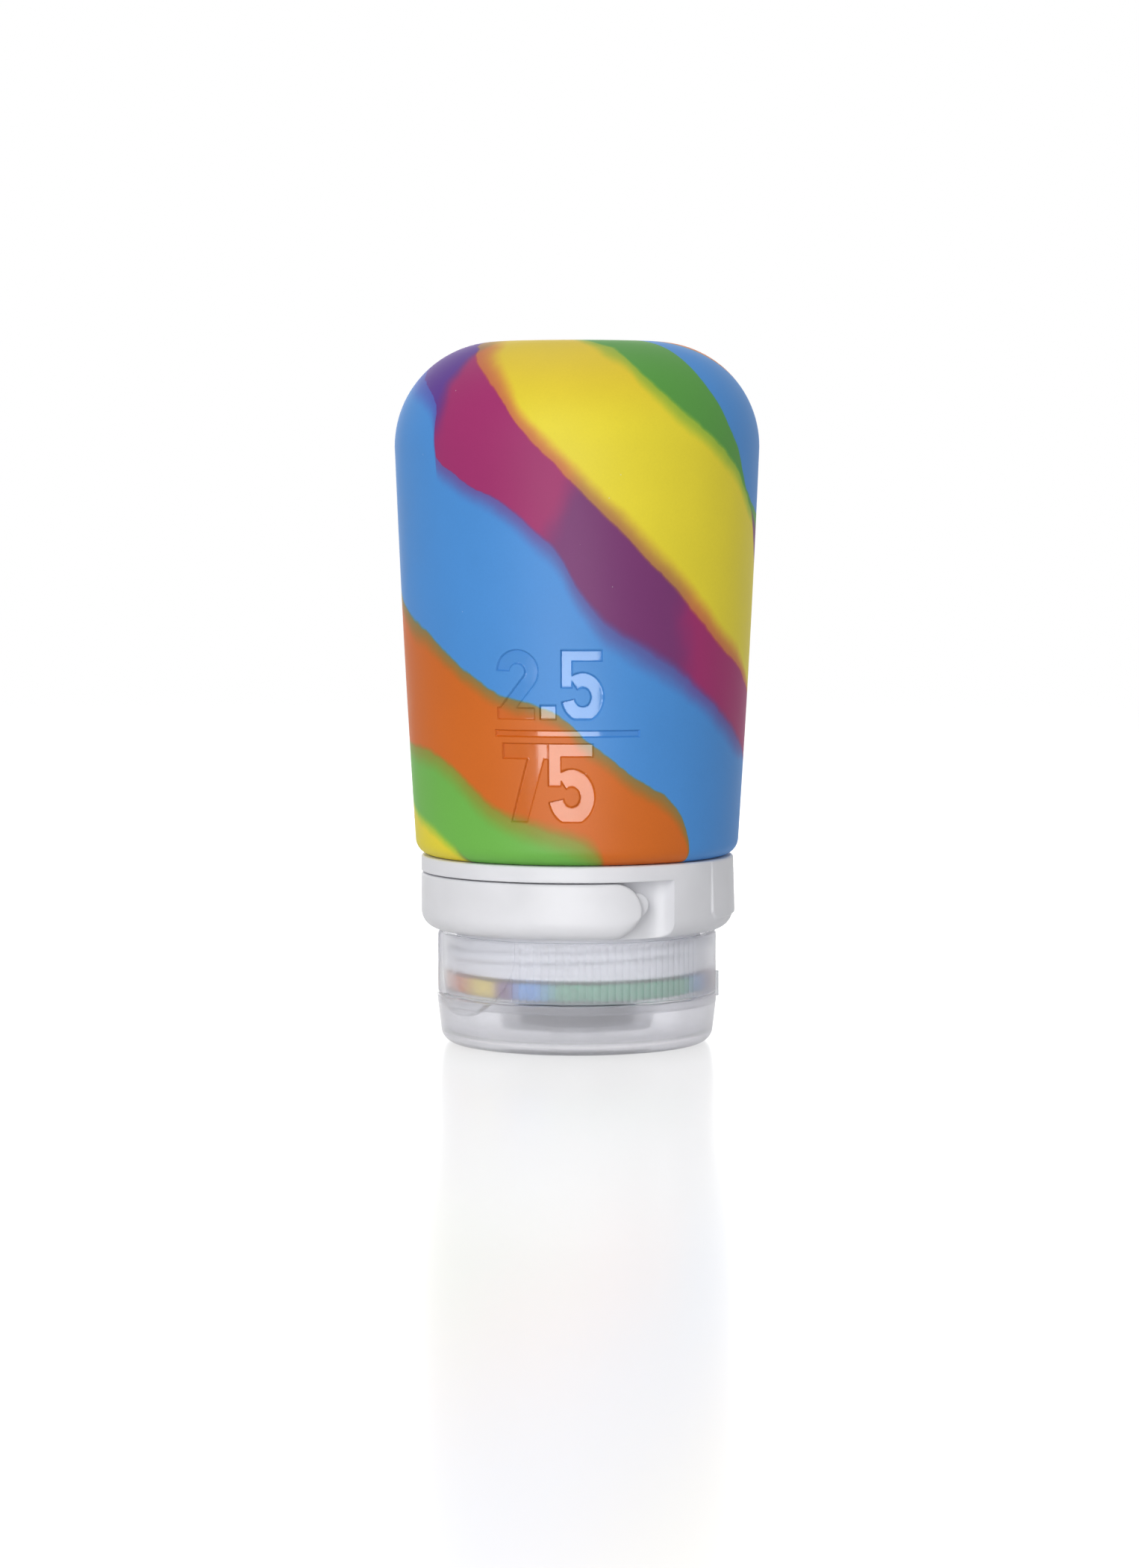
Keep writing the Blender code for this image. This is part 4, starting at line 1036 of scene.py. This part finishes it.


def frosted_plastic(name, colour, roughness, frost, clear, ior, housing=False):
    """Natural polypropylene: smooth inside faces, and a frosted skin that veils what lies behind it; with
    housing, painted shade deepens the valve's housing.
    """
    material, tree, shader = new_material(name)
    grain = grain_on(tree, 0.16, 0.5)
    axes = put(tree, "SeparateXYZ", (place_in_mm(tree),)).outputs
    radius = from_axis(tree, axes)
    # the frosted skin is the outside of skirt and lid, and the lid's foot
    skin = calc(tree, "MAXIMUM", ramp_between(tree, radius, 17.95, 18.15),
                ramp_between(tree, axes[2], 1.4, 1.2))
    veil = linear(tree, skin, frost - INNER_VEIL, INNER_VEIL)
    tint = mix_colour(tree, grain["Patch"], shade(colour, 0.97), shade(colour))
    tint = mix_colour(tree, skin, INNER_COLOUR, tint)
    if housing:
        # the housing is what lies within 8 mm of the axis, below the deck: it gets a denser veil and a deep
        # grey colour, partly the grey valve seen through and partly painted shade
        housing_shade = times(tree, ramp_between(tree, radius, 9.0, 8.0), ramp_between(tree, axes[2], 5.6, 5.3))
        veil = calc(tree, "MAXIMUM", veil, times(tree, housing_shade, 0.9))
        tint = mix_colour(tree, housing_shade, tint, HOUSING_VALVE_AND_SHADE_COLOUR)
    feed(tree, shader, {
        "Base Color": tint,
        "Alpha": veil,
        "Roughness": linear(tree, grain["Patch"], 0.08, roughness - 0.04),
        "Normal": grain_bump(tree, grain, 0.1, 0.02),
        "IOR": ior,
        "Transmission Weight": clear,
    })
    return material


# the cap's housing gets painted shade as well as the grey of the valve seen through it
cap.data.materials.append(
    frosted_plastic("frosted_cap_plastic", (0.92, 0.92, 0.95), 0.34, 0.86, 0.7, 1.1, housing=True))
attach(cap, "cap")
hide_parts("screw_cap")


# Drip valve and its retainer
# A thin disc of grey silicone with two crossed slits sits in the cap's housing and keeps the contents in
# until the tube is squeezed. A plain moulded ring, pressed in behind it, holds it there.


def valve_silicone():
    """Grey silicone, darker and paler in patches."""
    material, tree, shader = new_material("grey_valve_silicone")
    grain = grain_on(tree, 0.2, 0.4)
    feed(tree, shader, {
        "Base Color": mix_colour(tree, grain["Patch"], (0.20, 0.205, 0.225, 1.0), (0.30, 0.305, 0.33, 1.0)),
        "Roughness": linear(tree, grain["Patch"], 0.1, 0.45),
        "Normal": grain_bump(tree, grain, 0.1, 0.02),
        "IOR": 1.42,
    })
    return material


dress("drip_valve", valve_silicone())
dress("valve_retainer", white_plastic("retainer_plastic", (0.26, 0.265, 0.30), 0.4))


# Flip lid
# A shallow cup of the same frosted polypropylene that snaps over the cap's seat. Its flat foot is what the
# bottle stands on; a short plug on its floor closes the spout, and a thumb lip stands out of its rim.

LID_TOP = 6.7
LID_RIM_RADIUS = 18.95
LID_BORE = 17.8
LID_FOOT_SHRINK = 0.55
LID_FOOT_ROUND = 2.0
LID_FLOOR = 1.6
LID_COVE = 0.8
LID_EDGE = 0.15
PLUG_RADIUS = 2.8
PLUG_TOP = 3.4
PLUG_EDGE = 0.2
LIP_LOW = 4.6
LIP_PROUD = 0.5
LIP_SLOPE = 0.35
LID_BOSS = (4.75, 6.55)


def lid_shape(turn, radius, height):
    """Raises the thumb lip and the boss out of the lid's side."""
    skin = (radius > LID_RIM_RADIUS - LID_FOOT_SHRINK - HAIR) & (height > LID_FOOT_ROUND - HAIR)
    share = np.clip((height - LIP_LOW + EDGE) / (LID_TOP - LIP_LOW + EDGE), 0.0, 1.0)
    lip = within(thumb_outline(turn, height, LID_RIM_RADIUS), LIP_SLOPE) * LIP_PROUD * share
    return np.where(skin, hinge_boss(turn, height, radius + lip, LID_BOSS), radius), height


def lid_profile():
    foot_radius = LID_RIM_RADIUS - LID_FOOT_SHRINK
    boss_foot = LID_BOSS[0]
    points = [(LID_BORE + LID_EDGE, LID_TOP)] + top_corner(LID_RIM_RADIUS, LID_TOP, LID_EDGE, 3)
    heights = np.concatenate([
        steps_down(LID_TOP - LID_EDGE - HAIR, boss_foot, 0.2),
        [boss_foot - 2 * HAIR],
        steps_down(boss_foot - 0.3, LID_FOOT_ROUND + 0.3, 0.35),
    ])
    share = (heights - LID_FOOT_ROUND) / (LID_TOP - LID_FOOT_ROUND)
    points += zip(foot_radius + LID_FOOT_SHRINK * share, heights)
    points += foot_corner(foot_radius, 0.0, LID_FOOT_ROUND, 12)
    points += [(0.0, 0.0), (0.0, PLUG_TOP), (PLUG_RADIUS - PLUG_EDGE, PLUG_TOP)]
    points += [(PLUG_RADIUS, PLUG_TOP - PLUG_EDGE), (PLUG_RADIUS, LID_FLOOR)]
    points += arc(LID_BORE - LID_COVE, LID_FLOOR + LID_COVE, LID_COVE, -90, 0, 5)
    return points + [(LID_BORE, LID_TOP - LID_EDGE)]


lip_columns = [(-76.0, -34.0, 0.6)]
lid = turned("lid", lid_profile(), even_angles(CAP_STEP_DEG, boss_columns + lip_columns), lid_shape)
lid.data.materials.append(frosted_plastic("frosted_lid_plastic", (0.94, 0.93, 0.97), 0.25, 0.88, 0.72, 1.3))
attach(lid, "lid")
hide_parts("flip_lid")


# Hinge band
# A thin flexible strip of the same plastic, moulded to the boss on the cap and the one on the lid. The real
# one bends as the lid flips open; this one is made straight and flat.

BAND_HALF_WIDTH = 6.0
BAND_INSIDE = 19.1
BAND_THICK = 0.4
BAND_LOW = 5.35
BAND_HIGH = 8.75


def band_mesh():
    """A flat, straight strip in eighteen rows, closed at its two ends."""
    half = BAND_THICK / 2
    turn = math.radians(HINGE_DEG)
    out = round_axis(turn, 1.0, 0.0)
    along = round_axis(turn + math.pi / 2, 1.0, 0.0)
    across = np.linspace(-BAND_HALF_WIDTH, BAND_HALF_WIDTH, 9)
    section = [(across[0], -half)] + [(s, half) for s in across] + [(s, -half) for s in across[:0:-1]]
    rows = np.linspace((0.0, 0.0, BAND_HIGH), (0.0, 0.0, BAND_LOW), 18)
    points = np.array([out * (BAND_INSIDE + half + d) + along * s + rows for s, d in section])
    made = grid_object("hinge_band", points[::-1], close_profile=False)
    bm = bmesh.new()
    bm.from_mesh(made.data)
    bmesh.ops.holes_fill(bm, edges=[e for e in bm.edges if e.is_boundary])
    bmesh.ops.recalc_face_normals(bm, faces=bm.faces)
    bm.to_mesh(made.data)
    bm.free()
    return made


band = band_mesh()
band.data.materials.append(frosted_plastic("frosted_band_plastic", (0.93, 0.95, 0.99), 0.3, 0.8, 0.5, 1.2))
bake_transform(band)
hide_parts("lid_hinge_band")


# Stage
# A pale glossy floor and a white surround, soft lamps round the bottle, and the camera at the photograph's
# angle. The low card stands close in front, so that the glossy figures have something to mirror.

PHOTO_SCALE = 0.1009 * MM  # of one pixel of the photograph, at the bottle's axis
PHOTO_WIDE, PHOTO_HIGH = 1526, 2101
PHOTO_AXIS = 773.0  # the pixel column of the bottle's axis
PHOTO_FOOT = 1395.5  # the pixel row of the resting face's middle
CAMERA_DISTANCE = 600 * MM
CAMERA_HEIGHT = 77 * MM
SENSOR = 36.0
AMBIENT = 0.38  # of the white surround, on the object
FLOOR_GAP = 0.05 * MM  # so that the floor and the lid's face don't lie in one plane
FLOOR_HALF = 2.5  # metres
WHITE = (1.0, 1.0, 1.0, 1.0)


def seen_directly(tree):
    """1 for what the camera sees itself, mirrored or through something clear, 0 for the light it gives."""
    rays = put(tree, "LightPath").outputs
    through = calc(tree, "MAXIMUM", rays["Is Glossy Ray"], rays["Is Transmission Ray"])
    return calc(tree, "MAXIMUM", rays["Is Camera Ray"], through)


def floor_white():
    """A pale floor that fades out far away, and shows nothing to a camera below it."""
    material, tree, shader = new_material("floor_white")
    place = put(tree, "TexCoord").outputs["Object"]
    away = put(tree, "VectorMath", (place,), operation="LENGTH").outputs["Value"]
    from_above = calc(tree, "SUBTRACT", 1.0, put(tree, "NewGeometry").outputs["Backfacing"])
    feed(tree, shader, {
        "Base Color": (0.9, 0.9, 0.91, 1.0),
        "Roughness": 0.2,
        "Alpha": times(tree, ramp_between(tree, away, 0.25, 0.9, 0.6, 0.0), from_above),
        "Emission Color": WHITE,
        "Emission Strength": times(tree, seen_directly(tree), 0.22),
    })
    return material


corners = [(FLOOR_HALF * x, FLOOR_HALF * y, -FLOOR_GAP) for x, y in ((-1, -1), (1, -1), (1, 1), (-1, 1))]
floor_mesh = bpy.data.meshes.new("floor")
floor_mesh.from_pydata(corners, [], [(0, 1, 2, 3)])
floor = add_object("floor", floor_mesh)
floor.data.materials.append(floor_white())

world = bpy.data.worlds.new("studio")
world.use_nodes = True
bpy.context.scene.world = world
surround = world.node_tree
strength = linear(surround, seen_directly(surround), 1.0 - AMBIENT, AMBIENT)
feed(surround, surround.nodes["Background"], {"Color": WHITE, "Strength": strength})

for name, place, size, power in (
    ("key_softbox", (-0.25, -0.75, 0.30), (0.5, 0.6), 3.9),
    ("right_softbox", (0.75, -0.35, 0.35), (0.5, 0.7), 0.45),
    ("top_softbox", (-0.1, 0.1, 0.9), (0.7, 0.7), 1.8),
    ("back_softbox", (-0.10, 0.90, 0.16), (0.6, 0.5), 1.1),
    ("low_card", (-0.016, -0.16, 0.019), (0.115, 0.042), 0.18),
):
    data = bpy.data.lights.new(name, "AREA")
    data.shape = "RECTANGLE"
    data.size, data.size_y = size
    data.energy = power
    lamp = add_object(name, data)
    lamp.location = place
    lamp.visible_camera = False
    lamp.visible_transmission = name not in ("low_card", "back_softbox")
    lamp.visible_diffuse = name != "low_card"
    aim = Vector((0.0, 0.0, min(0.05, place[2]))) - Vector(place)
    lamp.rotation_euler = aim.to_track_quat("-Z", "Y").to_euler()

camera = add_object("camera", bpy.data.cameras.new("camera"))
camera.location = ((PHOTO_WIDE / 2 - PHOTO_AXIS) * PHOTO_SCALE, -CAMERA_DISTANCE, CAMERA_HEIGHT)
drop = CAMERA_HEIGHT - (PHOTO_FOOT - PHOTO_HIGH / 2) * PHOTO_SCALE
camera.rotation_euler = (math.pi / 2 - math.atan2(drop, CAMERA_DISTANCE), 0.0, 0.0)
camera.data.sensor_width = SENSOR
camera.data.lens = SENSOR * math.hypot(drop, CAMERA_DISTANCE) / (PHOTO_HIGH * PHOTO_SCALE)
bpy.context.scene.camera = camera
bpy.context.scene.view_settings.view_transform = "Standard"
